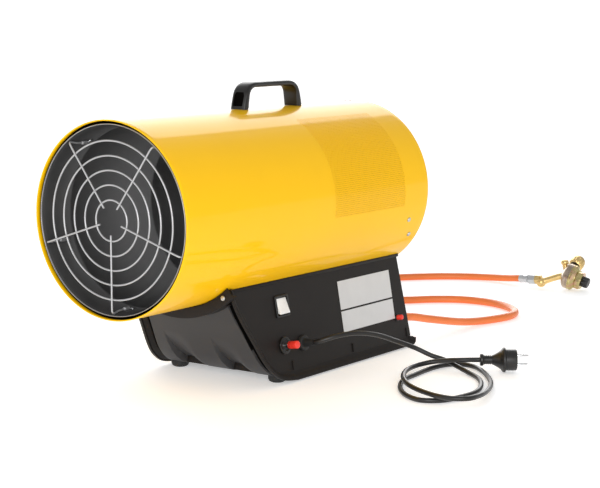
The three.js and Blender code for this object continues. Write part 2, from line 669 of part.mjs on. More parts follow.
function burnerCup() {
  const back = BURNER_PLATE_Y - GAP;
  const front = back - CUP_LENGTH;
  const web = front + CUP_LENGTH * 0.7;
  const profile = [
    [CUP_RADIUS, front], [CUP_RADIUS, back - CUP_SHEET], [CUP_FLANGE_RADIUS, back - CUP_SHEET],
    [CUP_FLANGE_RADIUS, back], [CUP_RADIUS - CUP_SHEET, back], [CUP_RADIUS - CUP_SHEET, web + CUP_SHEET],
    [NOZZLE_RADIUS + GAP, web + CUP_SHEET], [NOZZLE_RADIUS + GAP, web],
    [CUP_RADIUS - CUP_SHEET, web], [CUP_RADIUS - CUP_SHEET, front],
  ];
  const ports = Array.from({ length: CUP_PORTS / 2 }, (_, i) => {
    const angle = (180 / (CUP_PORTS / 2)) * i * DEG;
    const out = vec(Math.cos(angle), 0, Math.sin(angle)).multiplyScalar(CUP_RADIUS + 10);
    const y = front + CUP_LENGTH * 0.35;
    return rod(CUP_PORT_RADIUS, out.clone().setY(y), out.clone().negate().setY(y), 8);
  });
  return cut(turned(profile, 20), ...ports);
}

function gasNozzle() {
  const front = BURNER_PLATE_Y - CUP_LENGTH * 0.3 - 8;
  const back = front + NOZZLE_LENGTH;
  const tip = turned([[0, front - 5], [3.5, front - 5], [NOZZLE_RADIUS, front], [NOZZLE_RADIUS, back],
    [0, back]], 16);
  const nut = hexagon(NOZZLE_RADIUS + 2.5, back - 10, back);
  return join(tip, nut);
}

function burnerPipe() {
  const start = BURNER_PLATE_Y - CUP_LENGTH * 0.3 - 8 + NOZZLE_LENGTH + GAP;
  const drop = -AXIS_HEIGHT;
  const route = [
    [0, start, 0], [0, start + 18, 0], [0, GAS_PIPE_Y - 8, -6], [0, GAS_PIPE_Y, -26], [0, GAS_PIPE_Y, -90],
    [0, GAS_PIPE_Y, -140], [0, GAS_PIPE_Y, drop + 118], [5, GAS_PIPE_Y - 12, drop + 102],
    [30, GAS_PIPE_Y - 50, drop + 98], [62, 350, drop + 82], [72, 332, drop + 66], [73, 320, drop + 59],
    [73, VALVE_REAR + 6, drop + 58], [73, VALVE_REAR + GAP, drop + 58],
  ];
  return tube(smooth(route), GAS_PIPE_RADIUS, 6, 36);
}

function sparkElectrode() {
  const from = probeAt(1, BURNER_PLATE_Y - 26);
  const to = probeAt(1, BURNER_PLATE_Y + 18);
  const inward = from.clone().setY(0).normalize();
  const tip = from.clone().addScaledVector(inward, -16).setY(from.y - 22);
  const wire = tube(smooth([
    [from.x, from.y + 6, from.z], [from.x, from.y - 6, from.z],
    [(from.x + tip.x) / 2, from.y - 17, (from.z + tip.z) / 2], tip.toArray(),
  ]), 1.2, 6, 8);
  return join(rod(CERAMIC_RADIUS, from, to, 12), wire);
}

function thermocouple() {
  const from = probeAt(-1, BURNER_PLATE_Y - 34);
  return join(rod(THERMOCOUPLE_RADIUS, from, probeAt(-1, BURNER_PLATE_Y + 14), 12),
    rod(THERMOCOUPLE_RADIUS + 2, probeAt(-1, BURNER_PLATE_Y + 3), probeAt(-1, BURNER_PLATE_Y + 11), 6));
}

function overheatThermostat() {
  const face = BURNER_PLATE_Y + BURNER_PLATE_SHEET + GAP;
  const body = join(disc(THERMOSTAT_RADIUS, face, face + 6, 20),
    box(-2, 2, face + 5, face + 14, -7, 7));
  return geometryOf(body).translate(0, 0, PROBE_CIRCLE);
}

// ---------------------------------------------------------------- carrying handle

function carryHandle() {
  const [front, rear] = HANDLE_LEGS;
  const foot = CASING_RADIUS - 8;
  const top = CASING_RADIUS + HANDLE_TOP - HANDLE_GRIP_THICKNESS / 2;
  const shoulder = 24;
  const arch = new THREE.CurvePath();
  const at = (y, z) => vec(0, y, z);
  const leftTop = front + shoulder;
  const rightTop = rear - shoulder;
  arch.add(new THREE.LineCurve3(at(front, foot), at(front, top - shoulder + 4)));
  arch.add(new THREE.QuadraticBezierCurve3(at(front, top - shoulder + 4), at(front + 3, top - 1), at(leftTop, top)));
  arch.add(new THREE.LineCurve3(at(leftTop, top), at(rightTop, top)));
  arch.add(new THREE.QuadraticBezierCurve3(at(rightTop, top), at(rear - 3, top - 1), at(rear, top - shoulder + 4)));
  arch.add(new THREE.LineCurve3(at(rear, top - shoulder + 4), at(rear, foot)));
  const steps = 24;
  const corner = 0.3;
  const section = [[-1, -corner], [-1, corner], [-0.72, 1], [0.72, 1], [1, corner], [1, -corner],
    [0.72, -1], [-0.72, -1]];
  const loops = arch.getSpacedPoints(steps).map((point, i) => {
    const along = arch.getTangentAt(i / steps);
    const normal = vec(0, -along.z, along.y);
    const share = THREE.MathUtils.smoothstep(point.z, CASING_RADIUS, top);
    const middle = 1 - Math.abs((point.y - front) / (rear - front) - 0.5) * 2;
    const half = (HANDLE_LEG_THICKNESS + share * (HANDLE_GRIP_THICKNESS - HANDLE_LEG_THICKNESS)) / 2;
    const width = (HANDLE_WIDTH - (HANDLE_WIDTH - HANDLE_WAIST) * share * middle) / 2;
    return section.map(([u, v]) => point.clone().addScaledVector(normal, v * half).add(vec(u * width, 0, 0)));
  });
  return cut(skin(loops, section), disc(DRUM_CUT, front - 60, rear + 60, DRUM_SIDES));
}

function casingScrew(side, [y, angle]) {
  const out = vec(side * Math.cos(angle * DEG), 0, Math.sin(angle * DEG));
  const at = (radius) => out.clone().multiplyScalar(radius).setY(y);
  const seat = CASING_RADIUS + GAP;
  const head = pointed(turned([[0, 0], [SCREW_HEAD_RADIUS, 0], [SCREW_HEAD_RADIUS, SCREW_HEAD_HEIGHT * 0.5],
    [SCREW_HEAD_RADIUS * 0.6, SCREW_HEAD_HEIGHT], [0, SCREW_HEAD_HEIGHT]], 10), at(seat), at(seat + 10));
  return join(head, rod(SCREW_SHANK_RADIUS, at(seat - 7), at(seat + 1), 6));
}

// ---------------------------------------------------------------- base

const frontEdge = new THREE.SplineCurve(SIDE_PROFILE.map(([y, z]) => new THREE.Vector2(y, z)));
const frontEdgePoints = frontEdge.getSpacedPoints(14).map((p) => [p.x, p.y]);

// The rim follows the front edge, the bottom and a short turn up at the rear.
function rimPath() {
  return [...frontEdgePoints, [420, PANEL_BOTTOM], [RIM_REAR - 12, PANEL_BOTTOM],
    [RIM_REAR - 3, PANEL_BOTTOM + 3], [RIM_REAR, PANEL_BOTTOM + 12]];
}

// The panel's own outline [y, height], inset from the rim path.
function panelOutline(distance) {
  const low = PANEL_BOTTOM + distance;
  const path = inset(rimPath(), distance).filter(([y, z]) => y < 400 && z < PANEL_TOP - 1);
  return [...path, [BASE_REAR_BOTTOM - 4, low], [BASE_REAR_BOTTOM, low + 6],
    [BASE_REAR_TOP, PANEL_TOP], [SIDE_PROFILE[0][0] + distance, PANEL_TOP]];
}

function sidePanel(controls) {
  const lean = new THREE.Matrix4();
  const place = ([out, y, z]) => vec(panelX(z, out), y, z);
  const plate = acrossX(panelOutline(10), -PANEL_SHEET, 0);
  lean.set(1, 0, -SLOPE, PANEL_FOOT_X, 0, 1, 0, 0, 0, 0, 1, 0, 0, 0, 0, 1);
  plate.applyMatrix4(lean);
  const section = [[0, 3], [0, RIM_PROUD - 1], [1.5, RIM_PROUD], [4.5, RIM_PROUD - 1.5], [9, 2.5], [RIM_DEPTH, 0],
    [RIM_DEPTH, -PANEL_SHEET], [9, -PANEL_SHEET], [3, 3]];
  const path = rimPath();
  const loops = path.map((_, i) => section.map(([depth, out]) => {
    const [y, z] = inset(path, depth)[i];
    return place([out, y, z]);
  }));
  const topBead = acrossX([[BASE_REAR_TOP + 7, PANEL_TOP - 7], [BASE_REAR_TOP + 7, PANEL_TOP],
    [SIDE_PROFILE[0][0] + 4, PANEL_TOP], [SIDE_PROFILE[0][0] + 4, PANEL_TOP - 7]], -PANEL_SHEET, 2);
  topBead.applyMatrix4(lean);
  const whole = join(plate, skin(loops, section), topBead);
  const holes = controls ? controlHoles() : [];
  return cut(whole, drumCutter(), ...holes);
}

function controlHoles() {
  const through = (radius, y, s, sides = 24) => {
    const at = (out) => vec(PANEL_FOOT_X - s * Math.sin(LEAN) + out * Math.cos(LEAN), y,
      s * Math.cos(LEAN) + out * Math.sin(LEAN));
    return rod(radius, at(-12), at(12), sides);
  };
  const half = SWITCH_SIZE / 2 - SWITCH_LIP;
  const window = box(-12, 12, -half, half, -half, half).rotateY(-LEAN)
    .translate(PANEL_FOOT_X - SWITCH_S * Math.sin(LEAN), SWITCH_Y, SWITCH_S * Math.cos(LEAN));
  return [window, through(STEM_RADIUS + 3, VALVE_Y, VALVE_S), through(IGNITER_CAP_RADIUS + 1.5, IGNITER_Y, IGNITER_S),
    through(LEAD_DIAMETER / 2 + 3, GLAND_Y, GLAND_S)];
}

// The space between the two side panels, as a solid.
function betweenPanels(clearance) {
  const low = -5;
  const high = PANEL_TOP + 10;
  const out = -PANEL_SHEET - clearance;
  return acrossY([[-panelX(low, out), low], [panelX(low, out), low], [panelX(high, out), high],
    [-panelX(high, out), high]], SADDLE_FRONT - 50, OVERALL_LENGTH + 30);
}

function frontCowl() {
  const face = inset(frontEdgePoints, COWL_SETBACK).filter(([y, z]) => y < COWL_END && z < PANEL_TOP - 1);
  const room = betweenPanels(GAP);
  const block = (distance, beyond) => {
    const line = inset(face, distance);
    return acrossX([[line[0][0], PANEL_TOP + beyond], ...line, [COWL_END + beyond, line.at(-1)[1]],
      [COWL_END + beyond, PANEL_TOP + beyond]], -PANEL_FOOT_X, PANEL_FOOT_X);
  };
  const lower = face.filter(([, z]) => z < SCOOP_TOP);
  const scoops = (wall) => {
    const line = lower.map((_, i) => inset(lower, (SCOOP_DEPTH * i) / (lower.length - 1) + wall)[i]);
    const outline = [[100, line[0][1]], ...line, [COWL_END + 60, line.at(-1)[1]], [COWL_END + 60, -20], [100, -20]];
    return [[SCOOP_INNER, SCOOP_OUTER], [-SCOOP_OUTER, -SCOOP_INNER]].map(
      ([from, to]) => acrossX(outline, from - wall, to + wall));
  };
  const outer = cut(block(0, 0), ...scoops(0));
  const inner = cut(block(COWL_WALL, 30), ...scoops(COWL_WALL));
  const shell = clip(cut(outer, inner), room);
  const bandOuter = DRUM_CUT + SADDLE_BAND;
  const around = (profile) => turned(profile, DRUM_SIDES).translate(0, 0, AXIS_HEIGHT);
  const lip = around([
    [DRUM_CUT - 1, SADDLE_FRONT], [bandOuter, SADDLE_FRONT], [bandOuter, SADDLE_FRONT + SADDLE_LIP],
    [bandOuter - COWL_WALL, SADDLE_FRONT + SADDLE_LIP], [bandOuter - COWL_WALL, SADDLE_FRONT + COWL_WALL],
    [DRUM_CUT - 1, SADDLE_FRONT + COWL_WALL],
  ]);
  const skirt = around([
    [bandOuter, SADDLE_FRONT + SADDLE_LIP / 2], [bandOuter, SADDLE_FRONT + SADDLE_DEPTH],
    [bandOuter - COWL_WALL, SADDLE_FRONT + SADDLE_DEPTH],
    [bandOuter - COWL_WALL, SADDLE_FRONT + SADDLE_LIP / 2],
  ]);
  const far = CASING_RADIUS * 2;
  const spread = [far * Math.sin(SADDLE_ANGLE * DEG), AXIS_HEIGHT - far * Math.cos(SADDLE_ANGLE * DEG)];
  const sector = acrossY([[0, AXIS_HEIGHT], [-spread[0], spread[1]], spread], 0, SADDLE_FRONT + 2 * SADDLE_DEPTH);
  return cut(join(shell, clip(lip, sector), clip(skirt, clip(sector, room))), drumCutter());
}

function basePan() {
  const top = FOOT_HEIGHT + GAP + PAN_SHEET;
  const low = FOOT_HEIGHT + GAP;
  const sheet = box(-PANEL_FOOT_X, PANEL_FOOT_X, COWL_END + 4, BASE_REAR_BOTTOM + 12, low, top);
  const turnUp = box(-PANEL_FOOT_X, PANEL_FOOT_X, COWL_END + 4, COWL_END + 4 + PAN_SHEET, low, top + 12);
  return clip(join(sheet, turnUp), betweenPanels(GAP));
}

function rearWall() {
  const low = FOOT_HEIGHT + 2 * GAP + PAN_SHEET;
  const run = (height) => BASE_REAR_BOTTOM + (BASE_REAR_TOP - BASE_REAR_BOTTOM) * (height / PANEL_TOP);
  const wall = acrossX([[run(low), low], [run(PANEL_TOP), PANEL_TOP],
    [run(PANEL_TOP) - REAR_WALL_SHEET, PANEL_TOP], [run(low) - REAR_WALL_SHEET, low]], -PANEL_FOOT_X, PANEL_FOOT_X);
  const inletHole = rod(INLET_NUT_RADIUS - 3 + GAP, vec(INLET_X, BASE_REAR_TOP - 40, INLET_HEIGHT),
    vec(INLET_X, BASE_REAR_BOTTOM + 40, INLET_HEIGHT), 20);
  const slots = [0, 1, 2, 3, 4].map((i) => box(-VENT_LENGTH * 0.7, VENT_LENGTH * 0.3,
    BASE_REAR_TOP - 40, BASE_REAR_BOTTOM + 40, VENT_LOW + VENT_PITCH * i, VENT_LOW + VENT_PITCH * i + VENT_HEIGHT));
  return cut(clip(wall, betweenPanels(GAP)), drumCutter(), inletHole, ...slots);
}

function rubberFoot() {
  return turned([[0, 0], [FOOT_RADIUS - 5, 0], [FOOT_RADIUS - 1.5, 2], [FOOT_RADIUS, 6], [FOOT_RADIUS, FOOT_HEIGHT],
    [0, FOOT_HEIGHT]], 16).rotateX(Math.PI / 2);
}

// ---------------------------------------------------------------- controls

const alongX = (shape) => shape.rotateZ(-Math.PI / 2);   // from the Y axis to the X axis

const switchBody = SWITCH_SIZE / 2 - SWITCH_LIP - GAP;
const rockerWell = [ROCKER_WIDTH / 2 + ROCKER_SIDE_CLEARANCE, ROCKER_LENGTH / 2 + ROCKER_END_CLEARANCE];
const rockerPin = (radius, reach) => disc(radius, -reach, reach, 12).translate(ROCKER_PIVOT, 0, 0);
const pinReach = (switchBody + rockerWell[0]) / 2;

function switchFrame() {
  const half = SWITCH_SIZE / 2;
  const face = box(GAP, SWITCH_FRAME_PROUD, -half, half, -half, half);
  const body = box(-24, GAP + 1, -switchBody, switchBody, -switchBody, switchBody);
  const [wide, tall] = rockerWell;
  const well = box(-9, 20, -wide, wide, -tall, tall);
  return cut(join(face, body), well, rockerPin(ROCKER_PIN_RADIUS + RUNNING_FIT, pinReach + GAP));
}

// The rocker turns on two pins along local Y; at rest its lower end stands out.
function switchRocker() {
  const half = ROCKER_LENGTH / 2;
  const side = [[-5, -half * 0.55], [ROCKER_PROUD - 1, -half], [ROCKER_PROUD, -half + 1.5],
    [ROCKER_PROUD - 3, 0], [ROCKER_PROUD - 5, half - 1], [ROCKER_PROUD - 6.5, half], [-5, half * 0.55]];
  const key = acrossY(side, -ROCKER_WIDTH / 2, ROCKER_WIDTH / 2);
  return join(key, rockerPin(ROCKER_PIN_RADIUS, pinReach));
}

function valveBezel() {
  return alongX(tubeRing(BEZEL_RADIUS, STEM_RADIUS + GAP, GAP, GAP + BEZEL_PROUD, 24));
}

const capStart = GAP + BEZEL_PROUD + BUTTON_TRAVEL + GAP;

function valveStem() {
  return alongX(disc(STEM_RADIUS, -10, capStart + 8, 20));
}

function valveButton() {
  const end = capStart + BUTTON_LENGTH;
  const profile = [[0, capStart + 8 + GAP], [STEM_RADIUS + GAP, capStart + 8 + GAP], [STEM_RADIUS + GAP, capStart],
    [BUTTON_RADIUS, capStart], [BUTTON_RADIUS, end - 3], [BUTTON_RADIUS - 2.5, end], [0, end]];
  return alongX(turned(profile, 20));
}

function gasValve() {
  const body = box(-52, -11 - BUTTON_TRAVEL, -VALVE_HALF_LENGTH, VALVE_HALF_LENGTH, -17, 17);
  const spout = alongX(disc(12, -18 - BUTTON_TRAVEL, -PANEL_SHEET - GAP, 20));
  const bore = alongX(disc(STEM_RADIUS + RUNNING_FIT, -11 - BUTTON_TRAVEL, 5, 20));
  return cut(join(body, spout), bore);
}

function igniterBody() {
  const nose = alongX(disc(IGNITER_COLLAR_RADIUS, GAP, GAP + 2.5, 20));
  const barrel = alongX(disc(IGNITER_CAP_RADIUS + 1.2, -20, GAP + 1, 20));
  const bore = alongX(disc(IGNITER_CAP_RADIUS + RUNNING_FIT, -IGNITER_TRAVEL - 6, 10, 20));
  return cut(join(nose, barrel), bore);
}

function igniterButton() {
  const end = GAP + 2.5 + IGNITER_CAP_LENGTH;
  return alongX(turned([[0, -5], [IGNITER_CAP_RADIUS, -5], [IGNITER_CAP_RADIUS, end - 2],
    [IGNITER_CAP_RADIUS - 1.8, end], [0, end]], 20));
}

function cableGland() {
  const tip = LEAD_DIAMETER / 2 + 0.9;
  const profile = [[0, -10], [LEAD_DIAMETER / 2 + 2.4, -10], [LEAD_DIAMETER / 2 + 2.4, GAP], [GLAND_RADIUS, GAP],
    [GLAND_RADIUS, GLAND_FLANGE - 1], [GLAND_RADIUS - 2, GLAND_FLANGE], [7.5, GLAND_FLANGE + 0.6], [tip, RELIEF_LENGTH],
    [0, RELIEF_LENGTH]];
  return alongX(turned(profile, 20));
}

function labelPlate(y0, y1, s0, s1) {
  return box(GAP, GAP + LABEL_THICKNESS, y0, y1, s0, s1);
}

function gasInlet() {
  const wall = BASE_REAR_BOTTOM + (BASE_REAR_TOP - BASE_REAR_BOTTOM) * (INLET_HEIGHT / PANEL_TOP);
  const end = wall + INLET_REACH;
  const nut = hexagon(INLET_NUT_RADIUS, wall + 1.5, wall + 14);
  const inner = disc(INLET_NUT_RADIUS - 3, wall - 16, wall + 4, 20);
  const ferrule = disc(FERRULE_RADIUS, wall + 13, end, 20);
  return geometryOf(join(nut, inner, ferrule)).translate(INLET_X, 0, INLET_HEIGHT);
}

function supplyPipe() {
  const rear = BASE_REAR_BOTTOM + (BASE_REAR_TOP - BASE_REAR_BOTTOM) * (INLET_HEIGHT / PANEL_TOP) - 16 - GAP;
  const route = [
    [INLET_X, rear, INLET_HEIGHT], [INLET_X, rear - 5, INLET_HEIGHT], [80, rear - 22, 38], [72, rear - 60, 32],
    [66, 480, 30], [64, 380, 32], [66, 345, 38], [72, 326, 45], [73, VALVE_REAR + 6, 47],
    [73, VALVE_REAR + GAP, 47],
  ];
  return tube(smooth(route), GAS_PIPE_RADIUS, 6, 24);
}

function terminalBlock() {
  const low = FOOT_HEIGHT + 2 * GAP + PAN_SHEET;
  const front = GLAND_Y + 10;
  const block = box(-20, 4 * TERMINAL_PITCH - 20, front, front + 22, low, low + 18);
  const slots = [0, 1, 2, 3].map((i) => box(-16 + TERMINAL_PITCH * i, -8 + TERMINAL_PITCH * i,
    front - 5, front + 27, low + 10, low + 25));
  return cut(block, ...slots);
}

// ---------------------------------------------------------------- mains lead and plug

const glandMouth = (() => {
  const s = GLAND_S;
  const out = RELIEF_LENGTH + GAP;
  return [PANEL_FOOT_X - s * Math.sin(LEAN) + out * Math.cos(LEAN), GLAND_Y,
    s * Math.cos(LEAN) + out * Math.sin(LEAN)];
})();

const plugDirection = vec(Math.cos(PLUG_HEADING * DEG), Math.sin(PLUG_HEADING * DEG), 0);
const plugStart = vec(PLUG_AT[0], PLUG_AT[1], PLUG_FLANGE_RADIUS);

function leadCurve() {
  const out = vec(Math.cos(LEAN), 0, Math.sin(LEAN));
  const start = vec(...glandMouth);
  const straight = start.clone().addScaledVector(out, 5);
  const end = plugStart.clone().addScaledVector(plugDirection, -GAP);
  return smooth([start.toArray(), straight.toArray(), ...LEAD_ROUTE,
    end.clone().addScaledVector(plugDirection, -5).toArray(), end.toArray()]);
}

function plugBody() {
  const profile = [[0, 0], [10, 0], [10, 5], [7.5, 8], [7.5, 20], [13, 30], [PLUG_FLANGE_RADIUS - 2, 36],
    [PLUG_FLANGE_RADIUS, 38], [PLUG_FLANGE_RADIUS, 41], [PLUG_BODY_RADIUS, 42], [PLUG_BODY_RADIUS, 58],
    [PLUG_BODY_RADIUS - 1.5, 60], [0, 60]];
  const body = turned(profile, 20);
  const holes = [1, -1].map((side) => disc(PLUG_PIN_RADIUS + GAP, 50, 65, 12).translate(0, 0, (side * PLUG_PIN_SPACING) / 2));
  return cut(body, ...holes);
}

function plugPin(side) {
  const end = 60 + PLUG_PIN_LENGTH;
  return turned([[0, 50 + GAP], [PLUG_PIN_RADIUS, 50 + GAP], [PLUG_PIN_RADIUS, end - 1.5], [1, end], [0, end]], 12)
    .translate(0, 0, (side * PLUG_PIN_SPACING) / 2);
}

// ---------------------------------------------------------------- gas hose and regulator

const inletWall = BASE_REAR_BOTTOM + (BASE_REAR_TOP - BASE_REAR_BOTTOM) * (INLET_HEIGHT / PANEL_TOP);
const hoseHeading = vec(Math.cos(HOSE_END_HEADING * DEG), Math.sin(HOSE_END_HEADING * DEG), 0.05).normalize();
const hoseEnd = vec(...HOSE_END);

function hoseCurve() {
  const start = vec(INLET_X, inletWall + INLET_REACH + GAP, INLET_HEIGHT);
  return smooth([start.toArray(), [start.x, start.y + 8, start.z], ...HOSE_ROUTE,
    hoseEnd.clone().addScaledVector(hoseHeading, -8).toArray(), hoseEnd.toArray()]);
}

const regulatorAxis = vec(Math.cos(REGULATOR_HEADING * DEG) * Math.cos(REGULATOR_DIP * DEG),
  Math.sin(REGULATOR_HEADING * DEG) * Math.cos(REGULATOR_DIP * DEG), -Math.sin(REGULATOR_DIP * DEG));
const regulatorCentre = vec(...REGULATOR_CENTRE);
const inletAxis = vec(0.06, 0.91, 0.41);
inletAxis.addScaledVector(regulatorAxis, -inletAxis.dot(regulatorAxis)).normalize();

const onHose = (distance) => hoseEnd.clone().addScaledVector(hoseHeading, distance);

function hoseFerrule() {
  const grooves = [[0, GAP], [FERRULE_RADIUS, GAP], [FERRULE_RADIUS, 6], [FERRULE_RADIUS - 1.2, 7],
    [FERRULE_RADIUS - 1.2, 9], [FERRULE_RADIUS, 10], [FERRULE_RADIUS, FERRULE_LENGTH - 4], [5.5, FERRULE_LENGTH - 2],
    [5.5, FERRULE_LENGTH], [0, FERRULE_LENGTH]];
  return pointed(turned(grooves, 14), hoseEnd, onHose(10));
}

function hoseUnion() {
  const from = FERRULE_LENGTH + GAP;
  return pointed(hexagon(UNION_RADIUS, from, from + UNION_LENGTH), hoseEnd, onHose(10));
}

const along = (distance) => regulatorCentre.clone().addScaledVector(regulatorAxis, distance);
const onBell = (shape) => pointed(shape, regulatorCentre, along(10));
const onNeck = (shape) => pointed(shape, along(-NECK_BACK), along(-NECK_BACK).add(inletAxis));

function regulatorBody() {
  const start = onHose(FERRULE_LENGTH + UNION_LENGTH + 2 * GAP);
  const seat = pointed(hexagon(UNION_RADIUS - 0.5, 0, 12), start, start.clone().add(hoseHeading));
  const elbow = start.clone().addScaledVector(hoseHeading, 13).setZ(ELBOW_RADIUS + GAP);
  const ball = new THREE.SphereGeometry(ELBOW_RADIUS, 12, 8).translate(elbow.x, elbow.y, elbow.z);
  const enter = along(-BELL_DEPTH + 6);
  const stem = tube(smooth([elbow.toArray(), elbow.clone().lerp(enter, 0.5).add(vec(0, 0, 1)).toArray(),
    enter.toArray()]), STEM_PIPE_RADIUS, 8, 6);
  const bell = onBell(turned([[0, -BELL_DEPTH], [14, -BELL_DEPTH], [22, -BELL_DEPTH + 4],
    [BELL_RADIUS, -BELL_DEPTH + 9], [BELL_RADIUS, -1], [0, -1]], 24));
  const neck = onNeck(disc(NECK_RADIUS, 0, NECK_LENGTH, 24));
  const postFoot = along(-14);
  const postHead = postFoot.clone().add(vec(-4, 2, POST_HEIGHT));
  const post = rod(5, postFoot, postHead, 8);
  const cap = pointed(turned([[0, -6], [6, -5], [8, 0], [6, 5], [0, 6]], 10), postHead, postHead.clone().add(vec(0, 0, 1)));
  return join(seat, ball, stem, bell, neck, post, cap);
}

function regulatorCollar() {
  const rim = turned([[0, -1 + GAP], [BELL_RADIUS, -1 + GAP], [BELL_RADIUS, 5], [20, 10], [20, 12], [0, 12]], 24);
  const hex = hexagon(BONNET_RADIUS, 11, BONNET_END);
  const spindle = disc(SPINDLE_RADIUS, BONNET_END - 1, BONNET_END + SPINDLE_REACH, 20);
  return onBell(geometryOf(join(rim, hex, spindle)));
}

function regulatorKnob() {
  const from = BONNET_END + GAP;
  const seat = BONNET_END + SPINDLE_REACH + GAP;
  const bore = SPINDLE_RADIUS + RUNNING_FIT;
  return onBell(turned([[0, seat], [bore, seat], [bore, from], [KNOB_RADIUS - 1, from], [KNOB_RADIUS, from + 2],
    [KNOB_RADIUS, from + KNOB_LENGTH - 2], [KNOB_RADIUS - 2, from + KNOB_LENGTH], [0, from + KNOB_LENGTH]], 20));
}

function cylinderNut() {
  const from = HAND_NUT_START;
  const end = from + HAND_NUT_LENGTH;
  const bore = NECK_RADIUS + RUNNING_FIT;
  return onNeck(turned([[bore, from], [HAND_NUT_RADIUS - 3, from], [HAND_NUT_RADIUS, from + 4],
    [HAND_NUT_RADIUS, end - 3], [HAND_NUT_RADIUS - 2, end], [bore, end]], 24));
}

// Least distance between stretches of a route that pass each other, less the diameter.
function leastSelfGap(curve, diameter) {
  const count = 900;
  const points = curve.getSpacedPoints(count);
  const spacing = curve.getLength() / count;
  const apart = Math.ceil((diameter * 4) / spacing);
  let least = Infinity;
  for (let i = 0; i < points.length; i += 1) {
    for (let j = i + apart; j < points.length; j += 1) {
      least = Math.min(least, points[i].distanceTo(points[j]));
    }
  }
  return least - diameter;
}

// ---------------------------------------------------------------- the assembly

piece(drum, 'outer_casing', outerCasing(), yellowEnamel);
piece(drum, 'combustion_chamber', combustionChamber(), chamberSteel);
STAY_ANGLES.forEach((angle, i) => piece(drum, `chamber_stay_${i + 1}`, chamberStay(angle), plainSteel));
piece(drum, 'front_grille', frontGrille(), zincWire);
piece(drum, 'rear_guard', rearGuard(), zincWire);
piece(drum, 'fan_motor', fanMotor(), motorCast);
piece(drum, 'motor_bracket', motorBracket(), plainSteel);
piece(drum, 'motor_shaft', motorShaft(), plainSteel);
piece(drum, 'fan_impeller', fanImpeller(), fanAluminium);
piece(drum, 'fan_nut', fanNut(), plainSteel);
piece(drum, 'burner_plate', burnerPlate(), chamberSteel);
piece(drum, 'burner_cup', burnerCup(), plainSteel);
piece(drum, 'gas_nozzle', gasNozzle(), brass);
piece(drum, 'burner_pipe', burnerPipe(), plainSteel);
piece(drum, 'spark_electrode', sparkElectrode(), ceramicWhite);
piece(drum, 'thermocouple', thermocouple(), brass);
piece(drum, 'overheat_thermostat', overheatThermostat(), plainSteel);
piece(drum, 'carry_handle', carryHandle(), blackPlastic);
['right', 'left'].forEach((sideName, i) => SCREW_PLACES.forEach((place, j) =>
  piece(drum, `casing_screw_${sideName}_${j + 1}`, casingScrew(1 - 2 * i, place), plainSteel)));

piece(base, 'front_cowl', frontCowl(), greyPlastic);
piece(base, 'control_panel', sidePanel(true), blackPaint);
piece(base, 'far_panel', mirrored(sidePanel(false)), blackPaint);
piece(base, 'base_pan', basePan(), blackPaint);
piece(base, 'rear_wall', rearWall(), blackPaint);
[['front_right', 1, FRONT_FOOT_Y], ['front_left', -1, FRONT_FOOT_Y],
  ['rear_right', 1, REAR_FOOT_Y], ['rear_left', -1, REAR_FOOT_Y],
].forEach(([place, side, y]) => {
  piece(base, `foot_${place}`, rubberFoot(), blackRubber).position.set(side * FOOT_X, y, 0);
});
piece(base, 'terminal_block', terminalBlock(), whitePlastic);
piece(base, 'gas_inlet', gasInlet(), brass);
piece(base, 'supply_pipe', supplyPipe(), plainSteel);

const switchPlace = panelFrame(SWITCH_Y, SWITCH_S);
piece(switchPlace, 'switch_frame', switchFrame(), blackPlastic);
piece(switchPlace, 'power_rocker', switchRocker(), whitePlastic);
const valvePlace = panelFrame(VALVE_Y, VALVE_S);
piece(valvePlace, 'valve_bezel', valveBezel(), blackPlastic);
piece(valvePlace, 'valve_stem', valveStem(), chrome);
piece(valvePlace, 'valve_button', valveButton(), redPlastic);
piece(valvePlace, 'gas_valve', gasValve(), brass);
const igniterPlace = panelFrame(IGNITER_Y, IGNITER_S);
piece(igniterPlace, 'igniter_body', igniterBody(), blackPlastic);
piece(igniterPlace, 'igniter_button', igniterButton(), redPlastic);
piece(panelFrame(GLAND_Y, GLAND_S), 'cable_gland', cableGland(), blackRubber);
const labelPlace = panelFrame(0, 0);
piece(labelPlace, 'label_upper', labelPlate(...LABEL_Y, LABEL_SPLIT_S + LABEL_SLOT / 2, LABEL_S[1]), labelWhite);
piece(labelPlace, 'label_lower', labelPlate(...LABEL_Y, LABEL_S[0], LABEL_SPLIT_S - LABEL_SLOT / 2), labelWhite);

piece(leads, 'mains_lead', tube(leadCurve(), LEAD_DIAMETER / 2, LEAD_SIDES, LEAD_STEPS), blackRubber);
const plug = group(leads, plugStart.x, plugStart.y, plugStart.z);
plug.rotation.set(0, 0, (PLUG_HEADING - 90) * DEG);
const plugTurn = group(plug);
plugTurn.rotation.y = PLUG_ROLL * DEG;
piece(plugTurn, 'plug_body', plugBody(), blackRubber);
piece(plugTurn, 'plug_pin_upper', plugPin(1), chrome);
piece(plugTurn, 'plug_pin_lower', plugPin(-1), chrome);
piece(leads, 'gas_hose', tube(hoseCurve(), HOSE_DIAMETER / 2, HOSE_SIDES, HOSE_STEPS), hoseOrange);
piece(leads, 'hose_ferrule', hoseFerrule(), plainSteel);
piece(leads, 'hose_union', hoseUnion(), plainSteel);
piece(leads, 'regulator_body', regulatorBody(), brass);
piece(leads, 'regulator_collar', regulatorCollar(), plainSteel);
piece(leads, 'regulator_knob', regulatorKnob(), blackPlastic);
piece(leads, 'cylinder_nut', cylinderNut(), brass);

console.log(`mains lead: ${leadCurve().getLength().toFixed(0)} mm long, least gap to itself `
  + `${leastSelfGap(leadCurve(), LEAD_DIAMETER).toFixed(2)} mm`);
console.log(`gas hose: ${hoseCurve().getLength().toFixed(0)} mm long, least gap to itself `
  + `${leastSelfGap(hoseCurve(), HOSE_DIAMETER).toFixed(2)} mm`);

export default heater;
